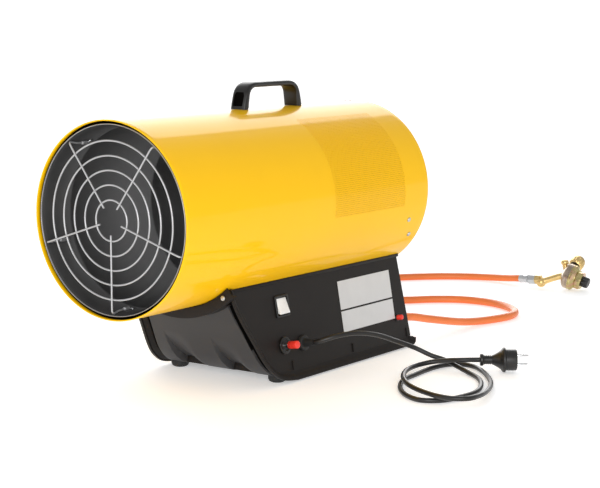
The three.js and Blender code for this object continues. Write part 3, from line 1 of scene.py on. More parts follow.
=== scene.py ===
# %% [markdown]
# # Forced air heater
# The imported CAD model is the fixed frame. This script gives it a camera, a studio, and finer
# pieces for everything that shows. Lengths below are in millimetres, measured as in the CAD
# source: x to the control side, y from the drum's front rim, h above the floor.

# %% Load the frame
import json
import math
import bmesh
import bpy
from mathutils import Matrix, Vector


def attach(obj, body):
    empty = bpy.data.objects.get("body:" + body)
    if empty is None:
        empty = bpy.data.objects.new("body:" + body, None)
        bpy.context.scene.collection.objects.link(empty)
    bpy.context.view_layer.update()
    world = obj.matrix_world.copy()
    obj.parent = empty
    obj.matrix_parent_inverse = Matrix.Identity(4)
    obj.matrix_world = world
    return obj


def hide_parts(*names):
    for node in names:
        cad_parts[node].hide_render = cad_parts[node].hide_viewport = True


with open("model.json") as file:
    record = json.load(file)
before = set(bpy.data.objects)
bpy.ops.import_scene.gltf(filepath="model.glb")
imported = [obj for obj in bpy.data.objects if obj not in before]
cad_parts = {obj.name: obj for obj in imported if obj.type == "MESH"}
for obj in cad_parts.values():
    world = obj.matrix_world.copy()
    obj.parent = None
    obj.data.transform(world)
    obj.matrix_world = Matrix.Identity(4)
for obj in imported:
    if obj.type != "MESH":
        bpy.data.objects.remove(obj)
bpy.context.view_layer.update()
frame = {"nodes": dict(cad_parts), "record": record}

print("CAD nodes:", len(frame["nodes"]))

# %% [markdown]
# ## Points and meshes
# The frame is in metres with its origin under the drum's middle, but sizes on a drawing of a
# heater are in millimetres from its front. `at` turns one into the other, so all that follows
# can be read like the drawing. `mesh` makes an object from such points, joins doubled points,
# and shades it smooth except across sharp edges, as a folded or moulded part looks.

# %% From millimetres to objects
SHIFT = 335.0
AXIS_H = 280.0


def at(x, y, h):
    return Vector((x, y - SHIFT, h)) / 1000


def tidy(obj, sharp):
    """Joined points, outward normals, and smooth shading up to an angle."""
    bm = bmesh.new()
    bm.from_mesh(obj.data)
    bmesh.ops.remove_doubles(bm, verts=bm.verts, dist=1e-6)
    bmesh.ops.dissolve_degenerate(bm, edges=bm.edges, dist=1e-7)
    bmesh.ops.recalc_face_normals(bm, faces=bm.faces)
    bm.to_mesh(obj.data)
    bm.free()
    obj.data.polygons.foreach_set("use_smooth", [True] * len(obj.data.polygons))
    obj.data.set_sharp_from_angle(angle=math.radians(sharp))


def mesh(name, points, faces, sharp=32, metres=False):
    data = bpy.data.meshes.new(name)
    data.from_pydata([tuple(p) if metres else tuple(at(*p)) for p in points], [], faces)
    obj = bpy.data.objects.new(name, data)
    bpy.context.scene.collection.objects.link(obj)
    tidy(obj, sharp)
    return obj


print("drum axis:", AXIS_H, "mm above the floor")

# %% [markdown]
# Most parts of a heater are either turned on an axis, bent from wire, or pressed from sheet.
# All three are loops of points with faces between them, so one function, `skin`, makes the
# faces. `turned` gives it rings around an axis, and `tube` gives it circles along a path.
# Blender's own cylinders and curves could do this too, but then each would need its own fit.

# %% Faces between loops
def skin(name, loops, closed=False, sharp=32):
    """Faces between loops of equally many points; closed joins the last loop to the first."""
    count = len(loops[0])
    points = [p for loop in loops for p in loop]
    faces = []
    rows = len(loops) if closed else len(loops) - 1
    for i in range(rows):
        a, b = i * count, ((i + 1) % len(loops)) * count
        for j in range(count):
            k = (j + 1) % count
            faces.append((a + j, a + k, b + k, b + j))
    if not closed:
        faces.append(tuple(range(count - 1, -1, -1)))
        faces.append(tuple((len(loops) - 1) * count + j for j in range(count)))
    return mesh(name, points, faces, sharp)


print("loops of equally many points can be skinned")

# %% Turned parts and tubes
def axes(direction):
    """A direction as a unit vector, and two unit vectors square to it."""
    d = Vector(direction).normalized()
    side = d.cross(Vector((0, 0, 1)))
    if side.length < 1e-3:
        side = Vector((1, 0, 0))
    side.normalize()
    return d, side, side.cross(d)


def turned(name, rings, origin=(0, 0, AXIS_H), axis=(0, 1, 0), sides=72, closed=False, sharp=32):
    """Rings (along, radius) around an axis. A radius may be a function of the angle."""
    d, u, v = axes(axis)
    o = Vector(origin)
    loops = []
    for along, radius in rings:
        loop = []
        for i in range(sides):
            a = 2 * math.pi * i / sides
            r = radius(a) if callable(radius) else radius
            loop.append(o + d * along + (u * math.cos(a) + v * math.sin(a)) * max(r, 1e-4))
        loops.append(loop)
    return skin(name, loops, closed=closed, sharp=sharp)


def tube(name, points, radius, sides=12, closed=False):
    """A round wire or pipe along points, carried on without twist. radius may be a list."""
    pts = [Vector(p) for p in points]
    count = len(pts)
    tangents = []
    for i in range(count):
        a = pts[(i - 1) % count] if closed or i else pts[0]
        b = pts[(i + 1) % count] if closed or i < count - 1 else pts[-1]
        tangents.append((b - a).normalized())
    _, u, _ = axes(tangents[0])
    loops = []
    for i, (p, t) in enumerate(zip(pts, tangents)):
        u = (u - t * u.dot(t)).normalized()
        w = t.cross(u)
        r = radius[i] if isinstance(radius, (list, tuple)) else radius
        turns = [2 * math.pi * j / sides for j in range(sides)]
        loops.append([p + (u * math.cos(a) + w * math.sin(a)) * r for a in turns])
    return skin(name, loops, closed=closed, sharp=60)


print("rings can be turned, and circles drawn along a path")

# %% [markdown]
# Holes and hollows are cut with Blender's Boolean modifier, and its result is made the mesh
# at once, so nothing is left to compute when a pose changes. Every finished piece then rides
# on the body that moves it, and stands for the CAD nodes it shows in more detail.

# %% Cutting, joining and placing
def settle(obj, sharp=32):
    """The object's modifiers become its mesh."""
    bpy.context.view_layer.update()
    graph = bpy.context.evaluated_depsgraph_get()
    made = bpy.data.meshes.new_from_object(obj.evaluated_get(graph))
    obj.modifiers.clear()
    obj.data = made
    tidy(obj, sharp)
    return obj


def carve(obj, tool, sharp=32):
    mod = obj.modifiers.new("carve", "BOOLEAN")
    mod.operation = "DIFFERENCE"
    mod.solver = "EXACT"
    mod.object = tool
    settle(obj, sharp)
    bpy.data.objects.remove(tool, do_unlink=True)
    return obj


def join(name, *objs):
    """Several meshes as one object."""
    points, faces = [], []
    for obj in objs:
        start = len(points)
        points += [obj.matrix_world @ v.co for v in obj.data.vertices]
        faces += [tuple(start + i for i in p.vertices) for p in obj.data.polygons]
        bpy.data.objects.remove(obj, do_unlink=True)
    return mesh(name, points, faces, metres=True)


finishes = {}


def put(obj, body, slot, *nodes, look=None):
    """The piece rides on a body, takes a finish, and stands for CAD nodes."""
    obj.data.materials.clear()
    obj.data.materials.append(finishes[look or slot])
    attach(obj, body)
    if nodes:
        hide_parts(*nodes)
    return obj


print("pieces can be carved, joined and put on a body")

# %% [markdown]
# ## Camera
# The picture was taken from the front right, a little above the drum. The place and the lens
# were fitted to both rim circles, the drum's length and the base's lower corners, because a
# camera set by eye is easily off by the width of a whole button.

# %% Camera
camera_data = bpy.data.cameras.new("camera")
camera_data.sensor_width = 36
camera_data.lens = 98.46
camera_data.clip_end = 60
camera = bpy.data.objects.new("camera", camera_data)
bpy.context.scene.collection.objects.link(camera)
camera.location = (1.6380, -2.1164, 0.5864)
look = Vector((0.1314, -0.0350, 0.2225)) - camera.location
camera.rotation_euler = look.to_track_quat("-Z", "Y").to_euler()
bpy.context.scene.camera = camera
print("camera looks along", [round(c, 3) for c in look.normalized()])

# %% [markdown]
# ## Finishes
# Enamel, cast metal and moulded plastic are never one flat colour. Pictures wrapped around the
# parts could show that, but noise measured in metres needs no wrapping and is as fine as one
# looks. So every finish has a slow change of tint (`patch`), a fine `grain` that also moves the
# roughness, and a bump of its own depth. Some have `dirt` in spots, or turn to another colour
# with distance (`deep`), which is painted light that evens out the shade inside a part.

# %% Adding nodes
def node_maker(tree):
    """A function that adds a node to the tree, sets it, and fills or links its inputs."""
    def node(kind, inputs=None, **values):
        made = tree.nodes.new(kind)
        for key, value in values.items():
            setattr(made, key, value)
        for key, value in (inputs or {}).items():
            if isinstance(value, bpy.types.NodeSocket):
                tree.links.new(value, made.inputs[key])
            else:
                made.inputs[key].default_value = value
        return made
    return node


def mixed(node, share, color, other):
    """One colour that goes over into another."""
    inputs = {"Factor": share, "A": color, "B": list(other) + [1]}
    return node("ShaderNodeMix", inputs, data_type="RGBA").outputs["Result"]


print("nodes can be added in one line each")

# %% Colour and grain
def color_of(node, where, color, patch, dirt, deep):
    """Two tints in slow noise, then spots of dirt, then another colour with distance as painted
    light.
    """
    wide = node("ShaderNodeTexNoise", {"Vector": where, "Scale": patch[0], "Detail": 3})
    tint = node("ShaderNodeValToRGB", {"Fac": wide.outputs["Fac"]})
    for stop, position, change in zip(tint.color_ramp.elements, (0.32, 0.68), (-1, 1)):
        stop.position = position
        stop.color = [max(0, min(1, c * (1 + change * patch[1]))) for c in color] + [1]
    shade = tint.outputs["Color"]
    if dirt:
        spots = node("ShaderNodeTexNoise", {"Vector": where, "Scale": dirt[1], "Detail": 6})
        mask = node("ShaderNodeMapRange", {"Value": spots.outputs["Fac"], "From Min": 0.45,
                                           "From Max": 0.75, "To Max": dirt[2]})
        shade = mixed(node, mask.outputs["Result"], shade, dirt[0])
    # painted light: the colour turns to deep[0] along y, to even out the shade inside a part
    if deep:
        split = node("ShaderNodeSeparateXYZ", {"Vector": where})
        run = node("ShaderNodeMapRange", {"Value": split.outputs["Y"], "From Min": deep[1],
                                          "From Max": deep[2]})
        shade = mixed(node, run.outputs["Result"], shade, deep[0])
    return shade


def grain_of(node, where, stretch, scale, pebbled):
    """A fine unevenness: the rounded cells of moulded plastic, or plain noise."""
    place = node("ShaderNodeMapping", {"Vector": where, "Scale": stretch}).outputs["Vector"]
    if pebbled:
        inputs = {"Vector": place, "Scale": scale}
        return node("ShaderNodeTexVoronoi", inputs, feature="SMOOTH_F1").outputs["Distance"]
    inputs = {"Vector": place, "Scale": scale, "Detail": 4}
    return node("ShaderNodeTexNoise", inputs).outputs["Fac"]


print("tint, dirt and grain are measured in metres of object space")

# %% Finish recipe
def finish(name, color, rough, *, patch, grain, depth=0.00003, metal=0.0, specular=0.5, coat=0.0,
           coat_rough=0.1, stretch=(1, 1, 1), pebbled=False, dirt=None, deep=None, glow=0.0):
    """A material by name. patch and grain are (scale, strength), depth the bump in metres."""
    mat = bpy.data.materials.new(name)
    mat.use_nodes = True
    mat.node_tree.nodes.clear()
    node = node_maker(mat.node_tree)
    where = node("ShaderNodeTexCoord").outputs["Object"]
    shade = color_of(node, where, color, patch, dirt, deep)
    level = grain_of(node, where, stretch, grain[0], pebbled)
    rub = node("ShaderNodeMapRange", {"Value": level, "To Min": max(0.02, rough - grain[1]),
                                      "To Max": min(1, rough + grain[1])})
    bump = node("ShaderNodeBump", {"Height": level, "Strength": 1, "Distance": depth})
    shader = node("ShaderNodeBsdfPrincipled", {
        "Base Color": shade, "Roughness": rub.outputs["Result"], "Normal": bump.outputs["Normal"],
        "Metallic": metal, "Coat Weight": coat, "Coat Roughness": coat_rough,
        "Specular IOR Level": specular})
    if glow:
        mat.node_tree.links.new(shade, shader.inputs["Emission Color"])
        shader.inputs["Emission Strength"].default_value = glow
    node("ShaderNodeOutputMaterial", {"Surface": shader.outputs["BSDF"]})
    finishes[name] = mat
    return mat


print("a finish takes a colour, a roughness and its own unevenness")

# %% [markdown]
# The drum's enamel is a saturated yellow. Its gloss is a thin clear coat, so that the colour
# stays deep where nothing bright is mirrored. The chamber's steel is painted light: dark at its
# mouth and lighter grey further in, to even out the shade deep in the drum. Plated wire and
# screws are duller than chrome.

# %% Enamel, steel and wire
finish("yellow_enamel", (0.995, 0.555, 0.003), 0.35, specular=0.05, coat=0.36, coat_rough=0.045,
       patch=(5, 0.012), grain=(260, 0.03), depth=0.000003)
# painted light: the chamber's steel turns lighter grey from 15 to 195 mm deep, against the shade
# there
finish("chamber_steel", (0.050, 0.050, 0.050), 0.66, metal=0.1, patch=(14, 0.16), specular=0.12,
       grain=(420, 0.08), depth=0.00002, dirt=((0.075, 0.065, 0.06), 22, 0.3),
       deep=((0.25, 0.248, 0.25), -0.320, -0.140))
# painted light: a lighter grey for the plate at the back of the chamber, where little light reaches
finish("burner_plate_painted_light", (0.34, 0.34, 0.345), 0.7, metal=0.1, patch=(16, 0.12), grain=(420, 0.08),
       depth=0.00002, specular=0.2)
finish("plain_steel", (0.60, 0.61, 0.62), 0.32, metal=0.95, patch=(60, 0.08), grain=(700, 0.08),
       depth=0.00001)
finish("zinc_wire", (0.50, 0.50, 0.505), 0.36, metal=0.6, patch=(40, 0.05), grain=(1400, 0.08),
       depth=0.00001)
finish("chrome", (0.82, 0.83, 0.84), 0.14, metal=1.0, patch=(60, 0.03), grain=(900, 0.04),
       depth=0.000005)
print("enamel and steels:", len(finishes))

# %% [markdown]
# The motor and fan are cast and rolled aluminium. The gas fittings are brass with a thin
# yellow passivation that turns pink and green on the regulator's cover, so that finish gets
# strong spots of a second colour.

# %% Aluminium and brass
finish("motor_casting", (0.28, 0.29, 0.30), 0.55, metal=0.5, patch=(25, 0.1), grain=(1100, 0.1),
       depth=0.00006, pebbled=True)
finish("fan_aluminium", (0.58, 0.59, 0.61), 0.36, metal=0.95, patch=(12, 0.06), grain=(300, 0.1),
       depth=0.00001, stretch=(1, 1, 6))
finish("brass", (0.84, 0.60, 0.25), 0.30, metal=0.92, patch=(55, 0.12), grain=(600, 0.1),
       depth=0.00002, dirt=((0.52, 0.38, 0.17), 70, 0.45))
finish("regulator_steel", (0.46, 0.37, 0.29), 0.30, metal=0.95, patch=(50, 0.15),
       grain=(600, 0.08), depth=0.00001, dirt=((0.60, 0.52, 0.42), 60, 0.6))
finish("chromate", (0.58, 0.50, 0.22), 0.28, metal=0.92, patch=(90, 0.2), grain=(600, 0.1),
       depth=0.00001, dirt=((0.62, 0.33, 0.27), 75, 1.0))
print("with aluminium and brass:", len(finishes))

# %% [markdown]
# Moulded plastic has the pebbled skin of its mould, and rubber a finer one. Both are far darker
# than they look, because the sheen adds to what is seen. `deep_black` is for hollows and gaps
# that hardly any light leaves.

# %% Plastic, rubber and labels
finish("black_plastic", (0.007, 0.0066, 0.006), 0.36, patch=(30, 0.12), grain=(1500, 0.08),
       pebbled=True)
finish("grey_plastic", (0.036, 0.0350, 0.0365), 0.50, specular=0.3, patch=(9, 0.06),
       grain=(1300, 0.06), pebbled=True)
finish("black_paint", (0.0115, 0.0092, 0.0080), 0.52, specular=0.22, patch=(11, 0.08),
       grain=(1300, 0.06), pebbled=True)
finish("black_rubber", (0.012, 0.012, 0.012), 0.62, patch=(50, 0.1), grain=(1600, 0.1),
       depth=0.00004, pebbled=True)
finish("lead_rubber", (0.011, 0.0105, 0.010), 0.36, patch=(30, 0.1), grain=(1500, 0.08),
       depth=0.00002)
finish("deep_black", (0.0022, 0.0020, 0.0018), 0.8, specular=0.03, patch=(60, 0.1),
       grain=(900, 0.05))
finish("white_plastic", (0.88, 0.88, 0.87), 0.28, coat=0.2, patch=(60, 0.02),
       grain=(1200, 0.04), depth=0.00001)
finish("white_ceramic", (0.80, 0.78, 0.72), 0.22, coat=0.3, patch=(60, 0.03), grain=(800, 0.04),
       depth=0.00001)
finish("red_plastic", (0.88, 0.045, 0.028), 0.34, patch=(80, 0.05), grain=(1400, 0.05),
       depth=0.00001)
finish("label_white", (0.66, 0.66, 0.66), 0.36, metal=0.15, patch=(25, 0.03), grain=(500, 0.05),
       depth=0.00001, stretch=(1, 8, 1))
finish("orange_hose", (0.88, 0.20, 0.035), 0.42, coat=0.15, coat_rough=0.25, patch=(9, 0.05),
       grain=(900, 0.06), depth=0.00002)
print("with plastic, rubber and labels:", len(finishes))

# %% [markdown]
# The CAD nodes that stay in view take the finish that the part's record names. The burner
# plate takes a lighter grey than the chamber around it: painted light, against the shade at the
# chamber's back.

# %% Finishes on the CAD nodes
looks = {part["node"]: part["material_slot"] for part in frame["record"]["subparts"]}
# painted light: the plate deep in the chamber takes a lighter finish
looks["burner_plate"] = "burner_plate_painted_light"
for node_name, node_obj in frame["nodes"].items():
    node_obj.data.materials.clear()
    node_obj.data.materials.append(finishes[looks[node_name]])
print("finishes:", len(finishes), "on", len(looks), "CAD nodes")

# %% [markdown]
# ## Mains lead and gas hose
# Both lie as in the photograph. A cord could be a Blender curve with a bevel, but its length
# has to be known, so it is a tube on points of the same curve as in the CAD source. The mains
# lead's route is all in view. The hose's part behind the heater is one smooth bend.

# %% A smooth curve through points
def smooth(points, steps):
    """Points on a centripetal Catmull-Rom curve, the kind the CAD source uses."""
    pts = [Vector(p) for p in points]
    pts = [pts[0] * 2 - pts[1]] + pts + [pts[-1] * 2 - pts[-2]]
    out = []
    for i in range(1, len(pts) - 2):
        p0, p1, p2, p3 = pts[i - 1:i + 3]
        t1 = (p1 - p0).length ** 0.5
        t2 = t1 + (p2 - p1).length ** 0.5
        t3 = t2 + (p3 - p2).length ** 0.5
        for k in range(steps):
            t = t1 + (t2 - t1) * k / steps
            a1 = p0 * ((t1 - t) / t1) + p1 * (t / t1)
            a2 = p1 * ((t2 - t) / (t2 - t1)) + p2 * ((t - t1) / (t2 - t1))
            a3 = p2 * ((t3 - t) / (t3 - t2)) + p3 * ((t - t2) / (t3 - t2))
            b1 = a1 * ((t2 - t) / t2) + a2 * (t / t2)
            b2 = a2 * ((t3 - t) / (t3 - t1)) + a3 * ((t - t1) / (t3 - t1))
            out.append(b1 * ((t2 - t) / (t2 - t1)) + b2 * ((t - t1) / (t2 - t1)))
    return out + [pts[-2]]


def length_of(points):
    return sum((b - a).length for a, b in zip(points, points[1:]))


print("a curve's length is the sum of its short steps")

# %% [markdown]
# The lead leaves the leaning side panel square to it, so the panel comes first: `panel` is a
# point on it, given by y, by the way up along it, and by the way out from it.

# %% The leaning panel
PANEL_FOOT_X = 121.4
LEAN = math.atan(27 / 157)
SIN, COS = math.sin(LEAN), math.cos(LEAN)
OUT, UP = Vector((COS, 0, SIN)), Vector((-SIN, 0, COS))


def panel(y, s, out=0.0):
    """A point on the control panel: s up along it, out from its face."""
    return Vector((PANEL_FOOT_X, y, 0)) + UP * s + OUT * out


def flat_direction(angle, rise=0.0):
    a = math.radians(angle)
    return Vector((math.cos(a), math.sin(a), rise)).normalized()


GLAND, GLAND_LENGTH = (335, 56), 22
lead_exit = panel(*GLAND, GLAND_LENGTH)
plug_dir = flat_direction(35)
plug_at = Vector((329, 531, 20.5))
hose_dir = flat_direction(-4, 0.05)
hose_end = Vector((-28, 1331, 16))
print("panel leans by", round(math.degrees(LEAN), 1), "degrees")

# %% Cord routes
LEAD_D, HOSE_D = 8.0, 14.5
lead_points = [lead_exit, lead_exit + OUT * 5] + [Vector(p) for p in [
    (148, 338, 63), (162, 351, 68.5), (179, 384, 71), (193, 431, 62), (206, 472, 46), (225, 498, 33),
    (248, 510, 21.5), (271, 518, 14.8), (296, 512, 9), (325, 498, 5.2), (358, 474, 4.2),
    (386, 435, 4.2), (404, 387, 4.2), (402, 344, 4.2), (388, 306, 4.2), (364, 291, 4.2),
    (332, 303, 4.2), (295, 341, 4.2), (268, 395, 4.2), (263, 439, 4.2), (260, 479, 4.2),
    (261, 511, 4.2), (268, 535, 4.2), (286, 549, 4.2), (310, 545, 4.2), (334, 527, 4.2),
    (362, 497, 4.2), (394, 452, 5), (423, 391, 9), (438, 339, 12.5), (436, 308, 13.6),
    (418, 294, 13.6), (395, 293, 13.8), (365, 306, 12.6), (337, 320, 12.6), (313, 335, 13.8),
    (287, 363, 14.4), (261, 406, 12), (244, 449, 9.5), (243, 480, 10), (257, 498, 13.5),
    (282, 508, 17.5), (306, 513, 20.3)]]
lead_points += [plug_at - plug_dir * 5, plug_at - plug_dir * 0.3]
hose_points = [Vector(p) for p in [
    (88, 669.91, 43), (88, 677.91, 43), (91, 700, 40.5), (99, 744, 31), (108, 788, 22),
    (115, 837, 13), (125, 884, 8.2), (137, 925, 7.25), (145, 965, 7.25), (137, 1004, 7.25),
    (112, 1038, 7.25), (70, 1066, 7.25), (28, 1077, 7.25), (-25, 1071, 7.25), (-74, 1040, 7.25),
    (-112, 1000, 7.25), (-160, 974, 7.25), (-222, 972, 7.25), (-282, 1002, 7.25),
    (-324, 1056, 7.25), (-336, 1120, 7.25), (-313, 1187, 7.25), (-266, 1248, 7.25),
    (-212, 1300, 7.25), (-158, 1334, 7.4), (-105, 1344, 9), (-62, 1338, 12.4)]]
hose_points += [hose_end - hose_dir * 8, hose_end]
print("route points:", len(lead_points), "and", len(hose_points))

# %% Cords
def cord(name, points, diameter, slot, node, sides):
    """A round tube on the smooth curve through the points."""
    line = smooth(points, 7)
    return put(tube(name, line, diameter / 2, sides=sides), "heater", slot, node), line


mains_lead, lead_line = cord("mains_cable", lead_points, LEAD_D, "lead_rubber", "mains_lead", 20)
gas_hose, hose_line = cord("gas_hose_rubber", hose_points, HOSE_D, "orange_hose", "gas_hose", 28)
print(f"mains lead {length_of(lead_line):.0f} mm, gas hose {length_of(hose_line):.0f} mm")

# %% [markdown]
# ## Studio
# Such a picture is taken on white paper with large soft lights near the camera. A bright wall of
# light stands behind the heater on the left, and the drum's glossy top mirrors it as a pale band
# with a sharp lower edge. A lamp could stand there, but the sky itself costs less light to
# compute, so it is bright within that part and dim elsewhere. The paper glows a little, which
# keeps shadows faint.

# %% Floor and lamps
def floor():
    reach = 60
    corners = [(-reach, -reach, 0), (reach, -reach, 0), (reach, reach, 0), (-reach, reach, 0)]
    obj = mesh("studio_floor", corners, [(0, 1, 2, 3)], metres=True)
    obj.location = (0, 0.5, 0)
    paper = finish("studio_paper", (0.93, 0.93, 0.93), 0.85, patch=(0.7, 0.006), grain=(40, 0.03),
                   depth=0.00001, specular=0.1, glow=0.42)
    obj.data.materials.append(paper)


def lamp(name, place, aim, size, power):
    data = bpy.data.lights.new(name, "AREA")
    data.shape = "RECTANGLE"
    data.size, data.size_y = size
    data.energy = power
    obj = bpy.data.objects.new(name, data)
    bpy.context.scene.collection.objects.link(obj)
    obj.location = place
    obj.rotation_euler = (Vector(aim) - Vector(place)).to_track_quat("-Z", "Y").to_euler()
    obj.visible_camera = False


floor()
lamp("key_soft", (1.98, -2.60, 0.86), (0, 0, 0.25), (2.0, 1.4), 46)
lamp("front_soft", (-0.6, -3.2, 1.5), (0, -0.1, 0.25), (1.8, 1.4), 9)
print("paper floor and two soft lamps")

# %% Sky with a wall of light
SKY_LIGHT, WALL_LIGHT = 0.55, 3.6
WALL_TOP, WALL_SIDE = 0.62, -0.165


def sky():
    """Even light, and a bright part behind the heater that ends at a set height and side."""
    world = bpy.data.worlds.new("studio")
    bpy.context.scene.world = world
    world.use_nodes = True
    tree = world.node_tree
    node = node_maker(tree)
    split = node("ShaderNodeSeparateXYZ", {"Vector": node("ShaderNodeTexCoord").outputs["Generated"]})
    edges = {"Z": (WALL_TOP + 0.02, WALL_TOP), "Y": (0.10, 0.40), "X": (WALL_SIDE, WALL_SIDE - 0.03)}
    inside = 1.0
    for axis, (dark, bright) in edges.items():
        share = node("ShaderNodeMapRange", {"Value": split.outputs[axis], "From Min": dark,
                                            "From Max": bright})
        both = node("ShaderNodeMath", {0: inside, 1: share.outputs["Result"]}, operation="MULTIPLY")
        inside = both.outputs["Value"]
    level = node("ShaderNodeMapRange", {"Value": inside, "To Min": SKY_LIGHT, "To Max": WALL_LIGHT})
    background = tree.nodes["Background"]
    tree.links.new(level.outputs["Result"], background.inputs["Strength"])
    background.inputs["Color"].default_value = (1, 1, 1, 1)


sky()
bpy.context.scene.view_settings.view_transform = "Standard"
bpy.context.scene.view_settings.look = "None"
print("sky", SKY_LIGHT, "wall of light", WALL_LIGHT)

# %% [markdown]
# ## Drum
# The casing is enamelled sheet, and on each side it has a field of small staggered slots. An
# image with holes in it would show them quickly, but they would have no edges and no depth. So
# the sheet is built as it is punched: in strips 1.25 degrees wide, where a strip in the field is
# a row of cells with one six-sided slot each. The sheet's inner side is a mesh of its own,
# painted black, because inside the drum hardly any light reaches it.

# %% Drum sizes
R, WALL, LENGTH, HEM = 150.0, 1.2, 656.0, 8.0
STEP = 1.25
STRIPS = round(360 / STEP)
FIELD_Y = (372.0, 583.0)
FIELD_ROWS = (-7, 50)
CELLS = 52
PITCH = (FIELD_Y[1] - FIELD_Y[0]) / CELLS
SLOT_LENGTH, SLOT_WIDTH, SLOT_TIP = 2.8, 1.25, 0.45


def around(angle, r, y):
    """A point around the drum's axis: 0 degrees is the control side, 90 the top."""
    a = math.radians(angle)
    return (r * math.cos(a), y, AXIS_H + r * math.sin(a))


def in_field(row):
    """Whether a strip has slots. The far side's rows mirror those of the near side."""
    near = row if row < STRIPS // 2 else row - STRIPS
    far = STRIPS // 2 - 1 - row
    return any(FIELD_ROWS[0] <= number < FIELD_ROWS[1] for number in (near, far))


slots = sum(CELLS - row % 2 for row in range(STRIPS) if in_field(row))
print("strips:", STRIPS, "slots:", slots)

# %% Strips and slotted cells
sheets = {R: ([], []), R - WALL: ([], [])}


def add_face(r, *new):
    """A face on the sheet's side with radius r."""
    points, faces = sheets[r]
    start = len(points)
    points.extend(new)
    faces.append(tuple(range(start, start + len(new))))


def strip(angle, y0, y1):
    for r in sheets:
        add_face(r, around(angle, r, y0), around(angle + STEP, r, y0),
                 around(angle + STEP, r, y1), around(angle, r, y1))


def slotted(angle, y):
    """One cell of a strip: four faces around the slot on each side, and the slot's walls."""
    half = SLOT_WIDTH / (math.radians(STEP) * R) / 2
    first, last = y + (PITCH - SLOT_LENGTH) / 2, y + (PITCH + SLOT_LENGTH) / 2
    outline = [(0, y), (1, y), (1, y + PITCH), (0, y + PITCH),
               (0.5 - half, first + SLOT_TIP), (0.5, first), (0.5 + half, first + SLOT_TIP),
               (0.5 + half, last - SLOT_TIP), (0.5, last), (0.5 - half, last - SLOT_TIP)]
    rims = []
    for r in sheets:
        low, high = Vector(around(angle, r, 0)), Vector(around(angle + STEP, r, 0))
        spots = [(low.lerp(high, share), along) for share, along in outline]
        c0, c1, c2, c3, *hole = [(p.x, along, p.z) for p, along in spots]
        add_face(r, c0, c1, hole[2], hole[1], hole[0])
        add_face(r, c1, c2, hole[3], hole[2])
        add_face(r, c2, c3, hole[5], hole[4], hole[3])
        add_face(r, c3, c0, hole[0], hole[5])
        rims.append(hole)
    for i in range(6):
        j = (i + 1) % 6
        add_face(R, rims[0][i], rims[0][j], rims[1][j], rims[1][i])


print("a slot is", SLOT_LENGTH, "by", SLOT_WIDTH, "mm, and its walls belong to the outer side")

# %% Punched sheet
for row in range(STRIPS):
    angle = row * STEP
    if not in_field(row):
        strip(angle, HEM, LENGTH - HEM)
        continue
    strip(angle, HEM, FIELD_Y[0])
    strip(angle, FIELD_Y[1], LENGTH - HEM)
    y = FIELD_Y[0]
    if row % 2:
        strip(angle, y, y + PITCH / 2)
        strip(angle, FIELD_Y[1] - PITCH / 2, FIELD_Y[1])
        y += PITCH / 2
    for _ in range(CELLS - row % 2):
        slotted(angle, y)
        y += PITCH
sheet = put(mesh("casing_sheet", *sheets[R], sharp=30), "heater", "yellow_enamel", "outer_casing")
lining = put(mesh("casing_inside", *sheets[R - WALL], sharp=30), "heater", "chamber_steel",
             "outer_casing", look="black_paint")
print("casing faces:", len(sheet.data.polygons), "and", len(lining.data.polygons))

# %% [markdown]
# Both ends of the sheet are folded back on themselves, so the drum's rim is a round bead that is
# thicker than the sheet, and not a sharp edge. Behind the slots the photograph shows only
# darkness. A black sleeve stands there, because the chamber's steel would catch the light.

# %% Hems and sleeve
SLEEVE_Y, SLEEVE_R = (362, 594), (146.6, 145.8)


def hem(name, y, way):
    """A folded edge: y is the open end, way points into the drum."""
    section = [(HEM, R), (1.0, R), (0.45, R - 0.2), (0.1, R - 0.6), (0, R - 1.0), (0.1, R - 1.4),
               (0.45, R - 1.8), (1.0, R - 2), (HEM - 0.6, R - 2), (HEM, R - 1.5)]
    rings = [(y + along * way, r) for along, r in section]
    piece = turned(name, rings, sides=STRIPS, closed=True, sharp=50)
    return put(piece, "heater", "yellow_enamel", "outer_casing")


hem("hem_front", 0, 1)
hem("hem_rear", LENGTH, -1)
(first, last), (outside, inside) = SLEEVE_Y, SLEEVE_R
sleeve_rings = [(first, outside), (first, inside), (last, inside), (last, outside)]
sleeve = turned("casing_sleeve", sleeve_rings, sides=STRIPS // 2, closed=True)
put(sleeve, "heater", "chamber_steel", look="deep_black")
print("hems", HEM, "mm wide, sleeve", last - first, "mm long")

# %% [markdown]
# The combustion chamber is a steel drum inside the casing. Its flared front edge shows as a thin
# bright ring, so that ring is a piece of its own. Behind it the wall is dark from heat, with two
# rolled beads that stiffen it.

# %% Combustion chamber
lip_rings = [(6, 143.7), (4.4, 143.8), (4.0, 143.5), (3.8, 143.1), (4.1, 142.7), (6, 142.6)]
chamber_lip = turned("chamber_lip", lip_rings, sides=240, closed=True, sharp=50)
put(chamber_lip, "heater", "zinc_wire", "combustion_chamber")
wall_rings = [
    (20.0, 140), (12, 142.6), (7, 143.5), (5.6, 143.2), (6, 142.5), (12, 141.4), (20.0, 138.8),
    (60, 138.8), (60.6, 138.2), (66, 138.2), (66.6, 138.8),
    (250, 138.8), (250.6, 138.2), (256, 138.2), (256.6, 138.8), (400, 138.8), (400, 140)]
chamber_wall = turned("chamber_wall", wall_rings, sides=180, closed=True, sharp=50)
put(chamber_wall, "heater", "chamber_steel", "combustion_chamber")
print("chamber from y", lip_rings[3][0], "to", wall_rings[-1][0])

# %% [markdown]
# Screws and rivets are small, but a smooth drum looks unreal without them. A screw's head is
# turned and its slot is cut with a Boolean. The slots of two neighbours point different ways, as
# those of hand-driven screws do. The seam is a flat strap along the drum's underside.

# %% Screws on the drum
SQUARE = ((-1, -1), (1, -1), (1, 1), (-1, 1))


